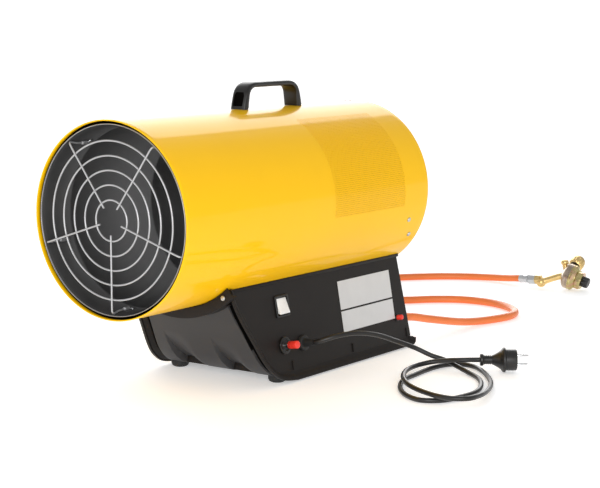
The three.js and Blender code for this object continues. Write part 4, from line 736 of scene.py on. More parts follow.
def screw_head(name, origin, axis, slot_turn, r=4.2, h=2.4):
    """A domed head with a slot cut across it, turned by slot_turn."""
    d, u, v = axes(axis)
    o = Vector(origin)
    dome = [(0, r), (h * 0.25, r), (h * 0.6, r * 0.9), (h * 0.88, r * 0.62), (h, r * 0.25)]
    head = turned(name, dome, origin, axis, sides=40, sharp=60)
    w = u * math.cos(slot_turn) + v * math.sin(slot_turn)
    n = d.cross(w)
    loops = [[o + d * k + w * (a * r * 1.3) + n * (b * r * 0.13) for a, b in SQUARE]
             for k in (h * 0.45, h * 1.3)]
    return carve(head, skin(name + "_slot", loops, sharp=20))


def radial(angle, r, y):
    """A point around the drum's axis, and the way out from the axis there."""
    a = math.radians(angle)
    return around(angle, r, y), (math.cos(a), 0, math.sin(a))


for side, sign in (("right", 1), ("left", -1)):
    for number, (y, angle) in enumerate(((606, -19.1), (626, -31)), 1):
        spot, out = radial(angle if sign > 0 else 180 - angle, R + 0.2, y)
        head = screw_head(f"screw_{side}_{number}", spot, out, 0.5 + number)
        put(head, "heater", "plain_steel", f"casing_screw_{side}_{number}")
print("four screws are on")

# %% Rivets and seam
def rivet(name, spot, out, rings):
    put(turned(name, rings, spot, out, sides=24, sharp=70), "heater", "plain_steel")


for number, angle in enumerate((91.5, 95.5), 1):
    rivet(f"casing_rivet_{number}", *radial(angle, R - 0.1, 639),
          [(0, 2.6), (0.5, 2.5), (1.1, 1.8), (1.4, 0.8)])
strap = ((-2, 0.0), (-1.8, 0.5), (1.8, 0.5), (2, 0.0), (1.8, -0.2), (-1.8, -0.2))
seam_loops = [[around(268 + a, R + o, y) for a, o in strap] for y in (9, 120, 300, 500, 647)]
put(skin("casing_seam", seam_loops, sharp=40), "heater", "yellow_enamel")
SPOKE_ANGLES = [-90 + 72 * number for number in range(5)]
for number, angle in enumerate(SPOKE_ANGLES, 1):
    spot, out = radial(angle, 138.1, 50)
    rivet(f"chamber_rivet_{number}", spot, [-c for c in out],
          [(0, 4.2), (0.6, 4.1), (1.5, 3.1), (1.9, 1.5)])
print("seven rivets and the seam are on")

# %% [markdown]
# ## Outlet grille and inlet guard
# Both are round zinc-plated wire of 3 mm, welded from rings and spokes. Wires that only touch
# would leave hard lines at the welds, so each spoke sinks a little into the rings. The outlet
# grille's five spokes bend back along the chamber wall, and a bead of weld holds each there.

# %% Wire grilles
WIRE = 3.0
SPOKE_LINE = [(22, 4.2), (60, 4.2), (100, 4.2), (132, 4.2), (137.0, 4.9), (139.2, 7.6), (138.6, 12),
              (137.0, 20), (136.7, 41.6)]


def wire_ring(name, radius, y):
    return tube(name, [around(3 * i, radius, y) for i in range(120)], WIRE / 2, closed=True)


def spoke(name, points, angle):
    return tube(name, smooth([around(angle, r, y) for r, y in points], 6), WIRE / 2)


wires = [wire_ring(f"ring_{i}", r, 6.0) for i, r in enumerate((30.8, 53.1, 74.8, 96.5, 118.8))]
for angle in SPOKE_ANGLES:
    wires.append(spoke("spoke", SPOKE_LINE, angle))
    bead = [(-6, 2.2), (-5, 2.9), (5, 2.9), (6, 2.2)]
    wires.append(turned("weld", bead, around(angle, 136.2, 36), sides=12, sharp=60))
put(join("outlet_grille", *wires), "heater", "zinc_wire", "front_grille")
guard = [wire_ring(f"guard_{i}", r, 650.0) for i, r in enumerate((32, 60, 89, 118, 146.2))]
for angle in (0, 90, 180, 270):
    guard.append(spoke("guard_spoke", [(10, 648.5), (80, 648.5), (146.2, 648.5)], angle))
hub = [(647, 10), (647, 13), (647.6, 14), (649.4, 14), (650, 13), (650, 10)]
guard.append(turned("guard_hub", hub, sides=48, sharp=40))
put(join("inlet_guard", *guard), "heater", "zinc_wire", "rear_guard")
print("grille and guard: 5 rings each")

# %% [markdown]
# ## Carrying handle
# A moulded arch with rounded edges and a slightly waisted grip. A bevelled box bent by a curve
# would keep one section all along, but this one is deeper at its feet. So its section is drawn
# at each point of the arch. The legs are hollowed on their outer faces, which shows as a dark
# recess: the same shape once cuts the hollow, and once, thin and deep black, lines its floor as
# painted shade.

# %% Line of the handle
FRONT_LEG, REAR_LEG = 319.0, 457.5
HANDLE_TOP, SHOULDER = R + 39.0, 24.0


def ease(t):
    """From 0 to 1 with a soft start and end, and level outside."""
    t = max(0.0, min(1.0, t))
    return t * t * (3 - 2 * t)


def handle_line():
    """The arch's middle as (y, height above the drum's axis), from the front foot back."""
    leg_top = HANDLE_TOP - SHOULDER + 4
    line = [(FRONT_LEG - 4.5, R - 4.0), (FRONT_LEG - 2.2, R + 9.0), (FRONT_LEG, leg_top)]
    for k in range(1, 9):
        t = k / 8
        a, b, c = (1 - t) ** 2, 2 * t * (1 - t), t * t
        line.append((a * FRONT_LEG + b * (FRONT_LEG + 3) + c * (FRONT_LEG + SHOULDER),
                     a * leg_top + b * (HANDLE_TOP - 1) + c * HANDLE_TOP))
    grip = REAR_LEG - FRONT_LEG - 2 * SHOULDER
    line += [(FRONT_LEG + SHOULDER + grip * k / 12, HANDLE_TOP) for k in range(1, 12)]
    return line + [(REAR_LEG + FRONT_LEG - y, z) for y, z in reversed(line[:11])]


print("handle points:", len(handle_line()), "up to", AXIS_H + HANDLE_TOP, "mm")

# %% Handle
def handle_arch(line, sides=32, squareness=0.45):
    """A rounded rectangle at each point, deeper at the feet and narrower in mid-grip."""
    loops = []
    for i, (y, z) in enumerate(line):
        before, after = line[max(i - 1, 0)], line[min(i + 1, len(line) - 1)]
        t = Vector((0, after[0] - before[0], after[1] - before[1])).normalized()
        n = Vector((0, -t.z, t.y))
        share = ease((z - R) / (HANDLE_TOP - R))
        middle = 1 - abs((y - FRONT_LEG) / (REAR_LEG - FRONT_LEG) - 0.5) * 2
        half_depth, half_width = (14.5 - 5.5 * share) / 2, (30 - 4 * share * middle) / 2
        loop = []
        for k in range(sides):
            a = 2 * math.pi * k / sides
            u, v = [math.copysign(abs(c) ** squareness, c) for c in (math.cos(a), math.sin(a))]
            loop.append(Vector((u * half_width, y, AXIS_H + z)) + n * (v * half_depth))
        loops.append(loop)
    return skin("handle_arch", loops, sharp=50)


def pocket(name, y, way, near, far):
    """The space of a leg's hollow, from near to far outwards of the leg's middle."""
    corners = [(-9.2, 5), (9.2, 5), (10.0, 9), (10.0, 22), (7.5, 27.5), (-7.5, 27.5), (-10.0, 22),
               (-10.0, 9)]
    loops = []
    for depth in (near, far):
        flare = [depth + 3.6 * (1 - (z - 5) / 22) for _, z in corners]
        loops.append([(x, y + way * f, AXIS_H + R + z) for (x, z), f in zip(corners, flare)])
    return skin(name, loops, sharp=20)


LEGS = (("front", FRONT_LEG, -1), ("rear", REAR_LEG, 1))
arch = handle_arch(handle_line())
carve(arch, turned("drum_tool", [(200, R + 0.3), (600, R + 0.3)], sides=240), sharp=45)
for name, y, way in LEGS:
    carve(arch, pocket("pocket", y, way, 2.0, 14), sharp=45)
put(arch, "heater", "black_plastic", "carry_handle")
# painted shade: a thin deep-black lining on the floor of each leg's hollow
for name, y, way in LEGS:
    hollow = pocket(f"handle_hollow_shade_{name}", y, way, 1.9, 2.6)
    put(hollow, "heater", "black_plastic", "carry_handle", look="deep_black")
print("handle faces:", len(arch.data.polygons))

# %% [markdown]
# ## Base
# The front wall is one moulded sheet between the two side panels. It follows the panels' front
# edge, 4 mm behind their rims, and has two scooped recesses that start sharply on their left
# and fade out on their right. Its top is cut to the drum. Sculpting would give such a surface
# too, but as a grid with a depth at each point it can be measured and changed.

# %% Lines of the base
PROFILE = [(162, 165), (166, 141), (180, 111), (199, 79), (218, 47), (236, 25), (262, 8.5),
           (300, 2.5)]


def uniform(points, steps):
    """Points on the uniform Catmull-Rom curve that shapes the base's front edge."""
    pts = [Vector(p) for p in points]
    pts = [pts[0]] + pts + [pts[-1]]
    out = []
    for i in range(1, len(pts) - 2):
        p0, p1, p2, p3 = pts[i - 1:i + 3]
        for k in range(steps):
            t = k / steps
            v0, v1 = (p2 - p0) * 0.5, (p3 - p1) * 0.5
            out.append(p1 * (2 * t ** 3 - 3 * t ** 2 + 1) + v0 * (t ** 3 - 2 * t ** 2 + t)
                       + p2 * (-2 * t ** 3 + 3 * t ** 2) + v1 * (t ** 3 - t ** 2))
    return out + [pts[-2]]


def inset(path, depth):
    """A path in (y, h) moved towards the inside of the base."""
    out = []
    for i, p in enumerate(path):
        t = (path[min(i + 1, len(path) - 1)] - path[max(i - 1, 0)]).normalized()
        out.append(Vector((p.x - t.y * depth, p.y + t.x * depth)))
    return out


def resample(path, count):
    """The same path with count points, equally far apart."""
    total = [0.0]
    for a, b in zip(path, path[1:]):
        total.append(total[-1] + (b - a).length)
    out, j = [], 0
    for i in range(count):
        want = total[-1] * i / (count - 1)
        while j < len(path) - 2 and total[j + 1] < want:
            j += 1
        share = (want - total[j]) / max(total[j + 1] - total[j], 1e-9)
        out.append(path[j].lerp(path[j + 1], share))
    return out


edge = uniform(PROFILE, 12)
face_line = resample([p for p in inset(edge, 4) if p.y > 6.5], 70)
print("front edge points:", len(edge), "front wall line:", len(face_line))

# %% [markdown]
# How deep the wall lies at a point depends on three things: how far down it is, how far from a
# recess's left edge, and how near to the side panel. A groove runs along both side edges, where
# wall and panel meet, and its faces are deep black as painted shade.

# %% Depth of the front wall
PANEL_THICK = 2.5
GROOVE, GROOVE_DEPTH, GROOVE_FLANK = 9.0, 6.5, 2.6
SCOOP_TOP, SCOOP_DEPTH, SCOOP_LEFTS = 76, 12, (24.0, -74.0)


def panel_x(h, out=0.0):
    """How far out the panel's face stands at a height."""
    return PANEL_FOOT_X - h * math.tan(LEAN) + out / COS


def scoop(x, h):
    """How deep the recess is: sharp at its left edge, soft at its right."""
    if h > SCOOP_TOP:
        return 0.0
    share = ease((SCOOP_TOP - h) / 66) ** 0.8
    deep = 0.0
    for left in SCOOP_LEFTS:
        if left - 1.2 < x < left + 50:
            rise = ease((x - left + 1.2) / 3.0)
            fall = 1 - ease((x - left - 14) / 36)
            deep = max(deep, rise * fall)
    return SCOOP_DEPTH * share * deep


def groove(side_gap):
    """How deep the groove is at a distance from the wall's side edge."""
    return GROOVE_DEPTH * (1 - ease((side_gap - GROOVE + GROOVE_FLANK) / GROOVE_FLANK))


def wall_top(x):
    """The wall ends at the cradle, or where it meets the drum."""
    return min(163.5, AXIS_H - math.sqrt((R + 0.6) ** 2 - min(abs(x), R) ** 2))


print("deepest in a recess:", round(max(scoop(x, 10) for x in range(24, 50)), 1), "mm")

# %% Front wall
def front_wall(columns=150, rows=64):
    """A grid of columns across and rows from the top down, thickened to a sheet of 3 mm."""
    near_edge = (0.905, 0.918, 0.931, 0.943, 0.955, 0.997)
    across = [-1 + 2 * i / columns for i in range(columns + 1)]
    across = sorted(across + [sign * u for sign in (-1, 1) for u in near_edge])
    loops = []
    for u in across:
        top = wall_top(u * 96)
        start = next((i for i, p in enumerate(face_line) if p.y <= top), 0)
        line = face_line[start:]
        if start and face_line[start - 1].y > top:
            a, b = face_line[start - 1], face_line[start]
            line = [a.lerp(b, (a.y - top) / (a.y - b.y))] + line
        line = resample(line, rows)
        loop = []
        for i, p in enumerate(line):
            half = panel_x(p.y, -PANEL_THICK) - 0.35
            x = u * half
            t = (line[min(i + 1, rows - 1)] - line[max(i - 1, 0)]).normalized()
            d = max(scoop(x, p.y), groove(half - abs(x)))
            loop.append(Vector((x, p.x - t.y * d, p.y + t.x * d)))
        loops.append(loop)
    faces = []
    for i in range(len(loops) - 1):
        for j in range(rows - 1):
            a, b = i * rows + j, (i + 1) * rows + j
            faces.append((a, b, b + 1, a + 1))
    obj = mesh("front_wall", [p for loop in loops for p in loop], faces, sharp=38)
    mod = obj.modifiers.new("sheet", "SOLIDIFY")
    mod.thickness = 0.003
    mod.offset = -1
    return settle(obj, 38)


wall = put(front_wall(), "heater", "grey_plastic", "front_cowl")
# painted shade: faces in the side grooves take deep_black
wall.data.materials.append(finishes["deep_black"])
for face in wall.data.polygons:
    x, h = abs(face.center.x) * 1000, face.center.z * 1000
    if panel_x(h, -PANEL_THICK) - x < GROOVE - 0.8:
        face.material_index = 1
ys = [v.co.y * 1000 + SHIFT for v in wall.data.vertices]
print("front wall faces:", len(wall.data.polygons), "y", round(min(ys), 1), round(max(ys), 1))

# %% [markdown]
# The drum rests in a cradle: a lip in front of the wall and a skirt behind it. Both are one
# section swept around the drum's axis, so they fit it at every point. Two screws hold the lip.

# %% Cradle under the drum
def sector(name, section, half_angle, steps=72):
    """A section of (radius, y) points swept under the drum."""
    turns = [-90 - half_angle + 2 * half_angle * i / steps for i in range(steps + 1)]
    return skin(name, [[around(angle, r, y) for r, y in section] for angle in turns], sharp=40)


lip_section = [(150.5, 153), (150.5, 151.2), (151.0, 150.4), (152.2, 150.1), (160, 150.6),
               (166.4, 150.2), (167.6, 150.4), (168.3, 151.4), (168.3, 159.8), (165.4, 159.8),
               (165.4, 153)]
lip = sector("cradle_lip", lip_section, 42.4)
skirt = sector("cradle_skirt", [(168.2, 155), (168.2, 180), (165.4, 180), (165.4, 155)], 33.2)
# painted shade: the cradle takes black paint instead of the wall's grey plastic, for the drum's
# shadow on it
put(join("cradle", lip, skirt), "heater", "grey_plastic", "front_cowl", look="black_paint")
for side, sign in (("right", 1), ("left", -1)):
    spot = around(-90 + sign * 36.6, 158.5, 150.4)
    head = screw_head(f"cradle_screw_{side}", spot, (0, -1, 0), 0.9, r=4.0, h=2.2)
    put(head, "heater", "plain_steel")
print("cradle and its two screws are on")

# %% [markdown]
# The side panels lean in towards the drum. A raised rim follows each panel's front edge and
# bottom, and a bead runs along the top against the drum. Three short ribs stand on the ledge.
# The rim is one section carried along the panel's outline, so its highlight runs unbroken.

# %% Rim of a panel
RIM_SECTION = [(0, 3), (0, 7.4), (0.3, 8.3), (0.9, 8.9), (1.7, 9.0), (3.0, 8.5), (4.5, 7.5),
               (6.2, 5.6), (7.8, 3.7), (9.3, 2.1), (11, 0.8), (13, 0.1), (13, -2.5), (9, -2.5),
               (3, 3)]
LEDGE_LINE = [(420, 2.5), (560, 2.5), (640, 2.5), (645, 2.7), (650, 3.7), (653.5, 5.8),
              (655.8, 9.5), (657, 14.5)]
rim_path = resample(edge, 60) + [Vector(p) for p in LEDGE_LINE]


def panel_point(side, out, y, h):
    """A point by its height, on the right panel (side 1) or the left one (side -1)."""
    return Vector((side * panel_x(h, out * COS), y, h))


def panel_rim(side):
    """Each point of the section follows the outline at its own distance from the edge."""
    insets = {depth: inset(rim_path, depth) for depth, _ in RIM_SECTION}
    loops = []
    for i in range(len(rim_path)):
        spots = [(out, insets[depth][i]) for depth, out in RIM_SECTION]
        loop = [panel_point(side, out, p.x, p.y) for out, p in spots]
        loops.append([Vector((p.x, p.y, min(p.z, 164.5))) for p in loop])
    return skin("rim", loops, sharp=40)


print("rim points:", len(rim_path), "x", len(RIM_SECTION))

# %% [markdown]
# The near panel has a square hole for the switch and round ones for the valve, the igniter and
# the gland. They are cut right through, so that each control stands in a real opening.

# %% Plate, bead and ribs
SWITCH, VALVE, IGNITER = (292, 122.8), (285, 60), (616.5, 55)


def on_panel(name, rings, place, sides=48, sharp=32, closed=False):
    """A turned piece that stands square on the control panel."""
    return turned(name, rings, panel(*place), OUT, sides=sides, sharp=sharp, closed=closed)


def panel_plate(side):
    inner = [p for p in inset(rim_path, 11) if p.x < 636 and p.y < 160]
    outline = [(p.x, p.y) for p in inner]
    outline += [(648.5, 13.5), (652.6, 19.0), (652.4, 22), (641.0, 162.2), (inner[0].x - 0.5, 162.2)]
    outer_face = [panel_point(side, 0, y, h) for y, h in outline]
    inner_face = [panel_point(side, -PANEL_THICK, y, min(h, 160.2)) for y, h in outline]
    plate = skin("plate", [outer_face, inner_face], sharp=30)
    if side > 0:
        y, s = SWITCH
        square = [[panel(y + 16 * a, s + 16 * b, out) for a, b in SQUARE] for out in (-12, 12)]
        carve(plate, skin("hole", square, sharp=20), sharp=30)
        for place, r in ((VALVE, 7), (IGNITER, 6), (GLAND, 7)):
            carve(plate, on_panel("hole", [(-12, r), (12, r)], place), sharp=30)
    return plate


def panel_bead(side):
    section = [(-2.2, 157.6), (0.6, 157.7), (1.6, 158.4), (2.0, 159.6), (2.0, 162.4),
               (1.3, 163.3), (0.0, 162.2), (-2.2, 160.4)]
    loops = []
    for y, grow in ((166.4, 0.5), (168, 1), (400, 1), (645, 1), (646.8, 0.5)):
        loops.append([panel_point(side, o * grow if o > 0 else o, y, h) for o, h in section])
    return skin("bead", loops, sharp=50)


def panel_rib(side, y):
    loops = []
    for out, half, low, high in ((-1, 1.6, 17, 33), (1.6, 1.3, 18, 32), (2.2, 0.7, 19, 31)):
        corners = ((-half, low), (half, low), (half, high), (-half, high))
        loops.append([panel_point(side, out, y + a, h) for a, h in corners])
    return skin("rib", loops, sharp=60)


def side_panel(name, side):
    ribs = [panel_rib(side, y) for y in (301, 472, 641)]
    return join(name, panel_rim(side), panel_plate(side), panel_bead(side), *ribs)


left_panel = put(side_panel("panel_left", -1), "heater", "black_paint", "far_panel")
right_panel = put(side_panel("panel_right", 1), "heater", "black_paint", "control_panel")
print("panels:", len(right_panel.data.polygons), len(left_panel.data.polygons))

# %% [markdown]
# ## Controls
# A white rocker in a black frame. The frame is a rounded square whose section is closed on
# itself, and the key is one bent profile, narrower at both ends. A small bevel gives the
# frame's edges the thin highlight that real mouldings have.

# %% Rounded edges and corners
def bevel(obj, width):
    """Small rounded edges wherever two faces meet at more than 40 degrees."""
    mod = obj.modifiers.new("bevel", "BEVEL")
    mod.width = width / 1000
    mod.segments = 2
    mod.limit_method = "ANGLE"
    mod.angle_limit = math.radians(40)
    return settle(obj)


def rounded(half_a, half_b, corner, steps=6):
    """A rounded rectangle, corner by corner."""
    out = []
    for qa, qb, start in ((1, 1, 0), (-1, 1, 90), (-1, -1, 180), (1, -1, 270)):
        for k in range(steps + 1):
            a = math.radians(start + 90 * k / steps)
            out.append((qa * (half_a - corner) + corner * math.cos(a),
                        qb * (half_b - corner) + corner * math.sin(a)))
    return out


print("points of a rounded square:", len(rounded(10, 10, 2)))

# %% Rocker switch
def on_switch(out, a, b):
    return panel(SWITCH[0] + a, SWITCH[1] + b, out)


def switch_frame():
    layers = [(0.3, 17.5, 2.5), (2.2, 17.5, 2.5), (2.9, 16.9, 2.2), (3.0, 16.2, 1.8),
              (3.0, 14.6, 1.2), (2.4, 13.9, 1.0), (-6.0, 13.7, 1.0), (-6.0, 15.6, 1.0),
              (0.3, 15.6, 1.0)]
    loops = []
    for out, half, corner in layers:
        tall = half + (0.5 if half < 15 else 0)
        loops.append([on_switch(out, a, b) for a, b in rounded(half, tall, corner)])
    return skin("switch_bezel", loops, closed=True, sharp=40)


def rocker():
    side = [(-4.6, -8), (4.4, -12.6), (5.6, -12.9), (6.3, -12.5), (6.5, -11.6), (5.2, -7),
            (4.0, -2.4), (3.5, 0), (3.0, 2.4), (2.0, 7), (1.2, 11.2), (0.9, 12.4), (0.3, 12.9),
            (-0.6, 12.7), (-4.6, 8)]
    loops = []
    for a, shrink in ((-12.9, 0.9), (-12.6, 0.96), (-11.9, 1.0), (11.9, 1.0), (12.6, 0.96),
                      (12.9, 0.9)):
        lower = (1 - shrink) * 6
        loops.append([on_switch(out - lower if out > 0 else out, a, b * shrink) for out, b in side])
    return skin("rocker_key", loops, sharp=50)


put(bevel(switch_frame(), 0.25), "heater", "black_plastic", "switch_frame")
put(rocker(), "rocker", "white_plastic", "power_rocker")
print("switch is on")

# %% [markdown]
# Both push buttons are turned parts. The valve's red cap sits on a plated rod in a black ring,
# and the igniter's cap stands in a ring of its own. Cap and rod ride on the body that the joint
# moves, while the rings stay with the heater.

# %% Push buttons
valve_ring = [(0.3, 14), (3.2, 14), (4.0, 13.3), (4.3, 12.4), (4.3, 9.5), (3.4, 9.0), (2.6, 8.4),
              (2.6, 4.35), (0.3, 4.35)]
valve_rod = [(-9, 3.4), (-8.6, 4), (9.9, 4), (10.2, 3.6), (17, 3.6), (18.4, 3.6)]
valve_cap = [(10.6, 4.4), (10.6, 5.7), (11.1, 6.25), (26.2, 6.25), (27.4, 5.9), (28.2, 5.0),
             (28.6, 3.4), (28.6, 0.2)]
igniter_ring = [(0.3, 5.0), (0.3, 6.5), (2.0, 6.5), (2.6, 6.0), (2.8, 5.2), (2.5, 4.65),
                (-6, 4.65), (-6, 5)]
igniter_cap = [(-5, 3.8), (-4.4, 4.5), (10.8, 4.5), (12.0, 4.0), (12.6, 3.0), (12.8, 1.6),
               (12.8, 0.2)]
put(on_panel("valve_ring", valve_ring, VALVE, closed=True),
    "heater", "black_plastic", "valve_bezel")
put(on_panel("valve_rod", valve_rod, VALVE), "valve_push", "chrome", "valve_stem")
put(on_panel("valve_cap", valve_cap, VALVE, sharp=50), "valve_push", "red_plastic", "valve_button")
put(on_panel("igniter_ring", igniter_ring, IGNITER, closed=True),
    "heater", "black_plastic", "igniter_body")
put(on_panel("igniter_cap", igniter_cap, IGNITER, sharp=50),
    "igniter_push", "red_plastic", "igniter_button")
print("valve and igniter are on")

# %% [markdown]
# The mains lead comes out through a gland: a fluted nut and a tapered rubber sleeve with rings
# that let it bend. A radius that changes with the angle makes the flutes, with no cutting.

# %% Cable gland
def fluted(r, depth, count, narrow=3):
    """A radius by angle for turned(): round, with count flutes. narrow makes them narrower."""
    return lambda a: r - depth * (0.5 + 0.5 * math.cos(a * count)) ** narrow


def gland():
    nut_rings = [(0.3, 11), (0.3, 13), (3.8, fluted(13, 0.9, 18, 2)), (4.6, fluted(12.6, 0.9, 18, 2)),
                 (5.0, 11.4), (5.6, 7.6)]
    sleeve_rings = [(-6, 4.3), (-6, 6.2), (5.2, 7.6)]
    for k in range(6):
        a, r = 6.2 + k * 2.4, 7.4 - k * 0.38
        sleeve_rings += [(a, r), (a + 1.3, r - 0.15), (a + 1.5, r - 0.9), (a + 2.1, r - 0.95)]
    sleeve_rings += [(20.8, 5.2), (21.8, 5.0), (GLAND_LENGTH, 4.6), (GLAND_LENGTH, 4.05), (20, 4.02)]
    return join("lead_gland", on_panel("gland_nut", nut_rings, GLAND, sides=144, sharp=50),
                on_panel("gland_sleeve", sleeve_rings, GLAND, sharp=35))


put(gland(), "heater", "black_rubber", "cable_gland")
print("gland length", GLAND_LENGTH, "mm, tapered")

# %% [markdown]
# ## Plug
# A moulded two-pin plug lies on its flange. Its grip is ribbed, and the lead's sleeve tapers.
# All of it is round, so it is one list of rings along the plug's axis, from the lead to the
# face, and the two pins are turned on axes beside it.

# %% Plug
PIN_SPREAD, PLUG_ROLL = 9.5, math.radians(30)


def on_plug(name, rings, sides=72, sharp=35, side=0.0):
    """A turned piece along the plug. side moves it from the middle towards a pin."""
    _, u, v = axes(plug_dir)
    across = v * math.cos(PLUG_ROLL) + u * math.sin(PLUG_ROLL)
    origin = plug_at + across * (side * PIN_SPREAD)
    return turned(name, rings, origin, plug_dir, sides=sides, sharp=sharp)


plug_rings = [(0, 4.1), (0, 9.0), (0.7, 9.9), (4.3, 9.9), (5.0, 9.2), (6.4, 7.6)]
for k in range(4):
    a = 7.0 + k * 3.1
    plug_rings += [(a, 7.5), (a + 1.9, 7.5), (a + 2.2, 6.6), (a + 2.9, 6.6)]
plug_rings += [(19.6, 7.6), (21, 8.1), (24, 9.6), (30, 13.0), (33.5, 15.6), (36.0, 18.8),
               (37.2, 20.1), (38.2, 20.5), (40.6, 20.5), (41.2, 20.1), (41.6, 18.2),
               (42.2, 17.5), (57.4, 17.5), (59.2, 17.0), (60, 15.9), (60, 0.4)]
plug = put(on_plug("plug_shell", plug_rings), "heater", "lead_rubber", "plug_body")
for name, side in (("upper", 1), ("lower", -1)):
    pin_rings = [(60.05, 2.4), (77.2, 2.4), (78.5, 1.9), (79, 0.9), (79, 0.1)]
    pin = on_plug(f"pin_{name}", pin_rings, sides=32, side=side)
    put(pin, "heater", "chrome", f"plug_pin_{name}")
print("plug reaches", [round(max(v.co[i] for v in plug.data.vertices) * 1000, 1) for i in range(3)])

# %% [markdown]
# ## Gas fittings
# The inlet on the rear wall has a hexagonal nut on a thread and a crimped ferrule. A nut is a
# hexagonal bar whose corners are turned off at both ends, and it is made like that here: the
# radius is a hexagon by the angle, and the end rings keep it below a limit.

# %% Nuts and ferrules
def hexagon(corner):
    """The radius of a hexagon by angle, for turned()."""
    return lambda a: corner * math.cos(math.pi / 6) / math.cos(a % (math.pi / 3) - math.pi / 6)


def limited(radius, limit):
    return lambda a: min(radius(a), limit)


def nut(name, corner, length, origin, axis, chamfer=None):
    """A hexagonal nut with turned chamfers at both ends."""
    c = chamfer or corner * 0.09
    end = limited(hexagon(corner), corner * math.cos(math.pi / 6) * 0.985)
    body = limited(hexagon(corner), corner * 0.995)
    rings = [(0, end), (c, body), (length - c, body), (length, end)]
    return turned(name, rings, origin, axis, sharp=22)


def ferrule(name, origin, axis, start, end, mid, half, r=8.6):
    """A sleeve that is pinched by a hexagonal tool, half to each side of mid."""
    pinched = limited(hexagon(r), r - 0.4)
    rings = [(start, 6.2), (start, r - 0.5), (start + 0.5, r), (mid - half - 1, r),
             (mid - half, pinched), (mid + half, pinched), (mid + half + 1, r),
             (end - 0.8, r), (end - 0.2, r - 0.5), (end, 5.6)]
    return turned(name, rings, origin, axis, sharp=30)


print("a nut's flats are", round(math.cos(math.pi / 6), 3), "of its corners")

# %% Gas inlet
BACK = (0, 1, 0)
rear_wall_y = 653 - 13 * 43 / 165
inlet_at = (88, rear_wall_y, 43)
thread = [(-16, 6.8), (-15, 8)]
thread += [(a / 2, 8 - (a % 2) * 0.5) for a in range(-29, 3)]
thread += [(1.5, 8)]
inlet_nut = nut("inlet_nut", 11, 12.5, (88, rear_wall_y + 1.5, 43), BACK)
inlet_thread = turned("inlet_thread", thread, inlet_at, BACK, sides=40)
put(join("inlet_union", inlet_nut, inlet_thread), "heater", "brass", "gas_inlet")
inlet_ferrule = ferrule("inlet_ferrule", inlet_at, BACK, 14.0, 20.0, mid=17, half=1.4)
put(inlet_ferrule, "heater", "plain_steel", "gas_inlet")
print("inlet at y", round(rear_wall_y, 1))

# %% [markdown]
# At the hose's far end come a crimped ferrule, a union nut, a ball-shaped elbow and a stem up to
# the regulator's bell. The elbow is drawn as a ball on a bent pipe, which is how a cast elbow
# looks from outside.

# %% Hose end and elbow
DIAL_AXIS = Vector((0.94700, 0.13309, -0.29237))
NECK_AXIS = Vector((0.0051, 0.9039, 0.4277))
BELL = Vector((87, 1347, 27.4))
stem_top = BELL + DIAL_AXIS * -14
crimp = ferrule("hose_crimp", hose_end, hose_dir, 0.3, 21.0, mid=10.5, half=3.0)
put(crimp, "heater", "plain_steel", "hose_ferrule")
tail = turned("hose_tail", [(20.8, 6.5), (23.6, 6.5)], hose_end, hose_dir, sides=32)
union_nut = nut("hose_nut", 11, 16.5, hose_end + hose_dir * 23.5, hose_dir)
put(join("hose_union_nut", tail, union_nut), "heater", "plain_steel", "hose_union")
seat_at = hose_end + hose_dir * 39.8
elbow = seat_at + hose_dir * 13
elbow.z = 13.3
arcs = [math.pi * k / 12 for k in range(13)]
ball = [(-10.6 * math.cos(a), 10.6 * math.sin(a)) for a in arcs]
bend = smooth([elbow, elbow.lerp(stem_top, 0.5) + Vector((0, 0, 1)), stem_top], 8)
casting = [nut("seat", 10.5, 12, seat_at, hose_dir),
           turned("ball", ball, elbow, stem_top - elbow, sides=48, sharp=60),
           tube("stem", bend, [8.6, 8.0, 7.4, 7.0, 6.8] + [6.7] * 12, sides=32)]
print("elbow", round(elbow.z, 1), "mm above the floor")

# %% [markdown]
# The regulator is a flat steel bell with two pressed grooves, on a brass casting with the neck for
# the gas cylinder and a small capped post. The bell is a piece of its own, because it has
# another metal's finish.

# %% Regulator body
bell_rings = [(-20, 1), (-20, 12.5), (-19, 14), (-17.5, 18), (-16, 22), (-13, 25.4), (-11.2, 26.6),
              (-10.6, 26.2), (-9.8, 26.2), (-9.2, 27), (-5.2, 27), (-4.6, 26.3), (-3.8, 26.3),
              (-3.2, 27), (-1, 27), (-1, 1)]
bell = turned("regulator_bell", bell_rings, BELL, DIAL_AXIS)
put(bell, "heater", "brass", "regulator_body", look="regulator_steel")
neck_at = BELL + DIAL_AXIS * -10
neck_rings = [(18, 7), (24, 9.6), (30, 9.6), (31, 8.6), (33.4, 8.6), (34.4, 8.0), (57, 8.0),
              (57, 5.5), (52, 5.0)]
casting.append(turned("neck", neck_rings, neck_at, NECK_AXIS, sides=48))
post = Vector((-4, 2, 26))
top = post.length
post_rings = [(0, 5), (17, 5), (18, 6.2), (20, 6.2), (20.8, 5.2), (top - 5, 5.0), (top - 4, 7.0),
              (top - 2, 8.0), (top + 2, 8.0), (top + 4.4, 6.8), (top + 5.6, 4.6), (top + 5.9, 0.5)]
casting.append(turned("post", post_rings, stem_top, post, sides=48, sharp=50))
put(join("regulator_casting", *casting), "heater", "brass", "regulator_body")
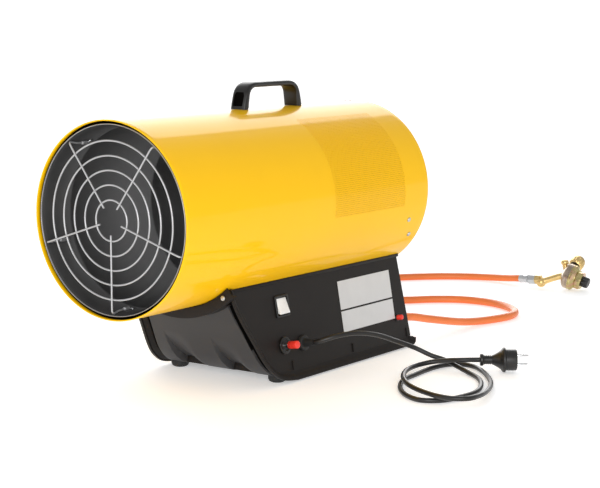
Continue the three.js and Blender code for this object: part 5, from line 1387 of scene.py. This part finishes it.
print("regulator bell 54 mm across, post", round(top, 1), "mm")

# %% [markdown]
# A rolled rim closes the bell, and a hexagonal bonnet stands on it. Both are passivated. The
# black dial knob and the hand nut have deep flutes for the fingers, and each rides on its body.

# %% Rim, bonnet, knob and hand nut
rim_rings = [(-0.7, 1), (-0.7, 27), (0.6, 27), (1.2, 26.5), (1.8, 27), (4.6, 27), (6, 26),
             (8.4, 22.6), (10, 20.3), (11, 20), (11.0, 1)]
rim = turned("regulator_rim", rim_rings, BELL, DIAL_AXIS, sides=96)
put(rim, "heater", "plain_steel", "regulator_collar", look="chromate")
bonnet = nut("bonnet_nut", 20.5, 13.2, BELL + DIAL_AXIS * 11.0, DIAL_AXIS, chamfer=2.6)
spindle = turned("spindle", [(21.8, 4), (30, 4), (30, 0.5)], BELL, DIAL_AXIS, sides=32)
put(join("regulator_bonnet", bonnet, spindle), "heater", "brass", "regulator_collar",
    look="chromate")
knob_rings = [(24.4, 4.2), (24.4, 9.6), (25.0, 11.0), (25.8, fluted(11.5, 1.2, 9)),
              (35.6, fluted(11.3, 1.2, 9)), (37.4, fluted(10.6, 1.0, 9)), (38.3, 9.2),
              (38.3, 5.0), (37.7, 4.4), (37.7, 0.3)]
knob = turned("dial_knob", knob_rings, BELL, DIAL_AXIS, sides=144, sharp=45)
put(knob, "regulator_dial", "black_plastic", "regulator_knob")
grip = fluted(15.5, 1.5, 12)
hand_rings = [(36, 8.2), (36, 11.6), (37.4, 12.8), (39.2, grip), (52.8, grip), (53.6, 14.2),
              (54.6, 13.4), (59.2, 13.4), (60, 12.8), (60, 9.6), (59, 8.2)]
hand = turned("hand_nut", hand_rings, neck_at, NECK_AXIS, sides=192, closed=True, sharp=45)
put(hand, "cylinder_coupling", "brass", "cylinder_nut")
washer_rings = [(34.6, 8.3), (34.6, 11.4), (35.7, 11.4), (35.7, 8.3)]
washer = turned("nut_washer", washer_rings, neck_at, NECK_AXIS, sides=48, closed=True)
put(washer, "heater", "black_rubber")
print("regulator pieces are on")
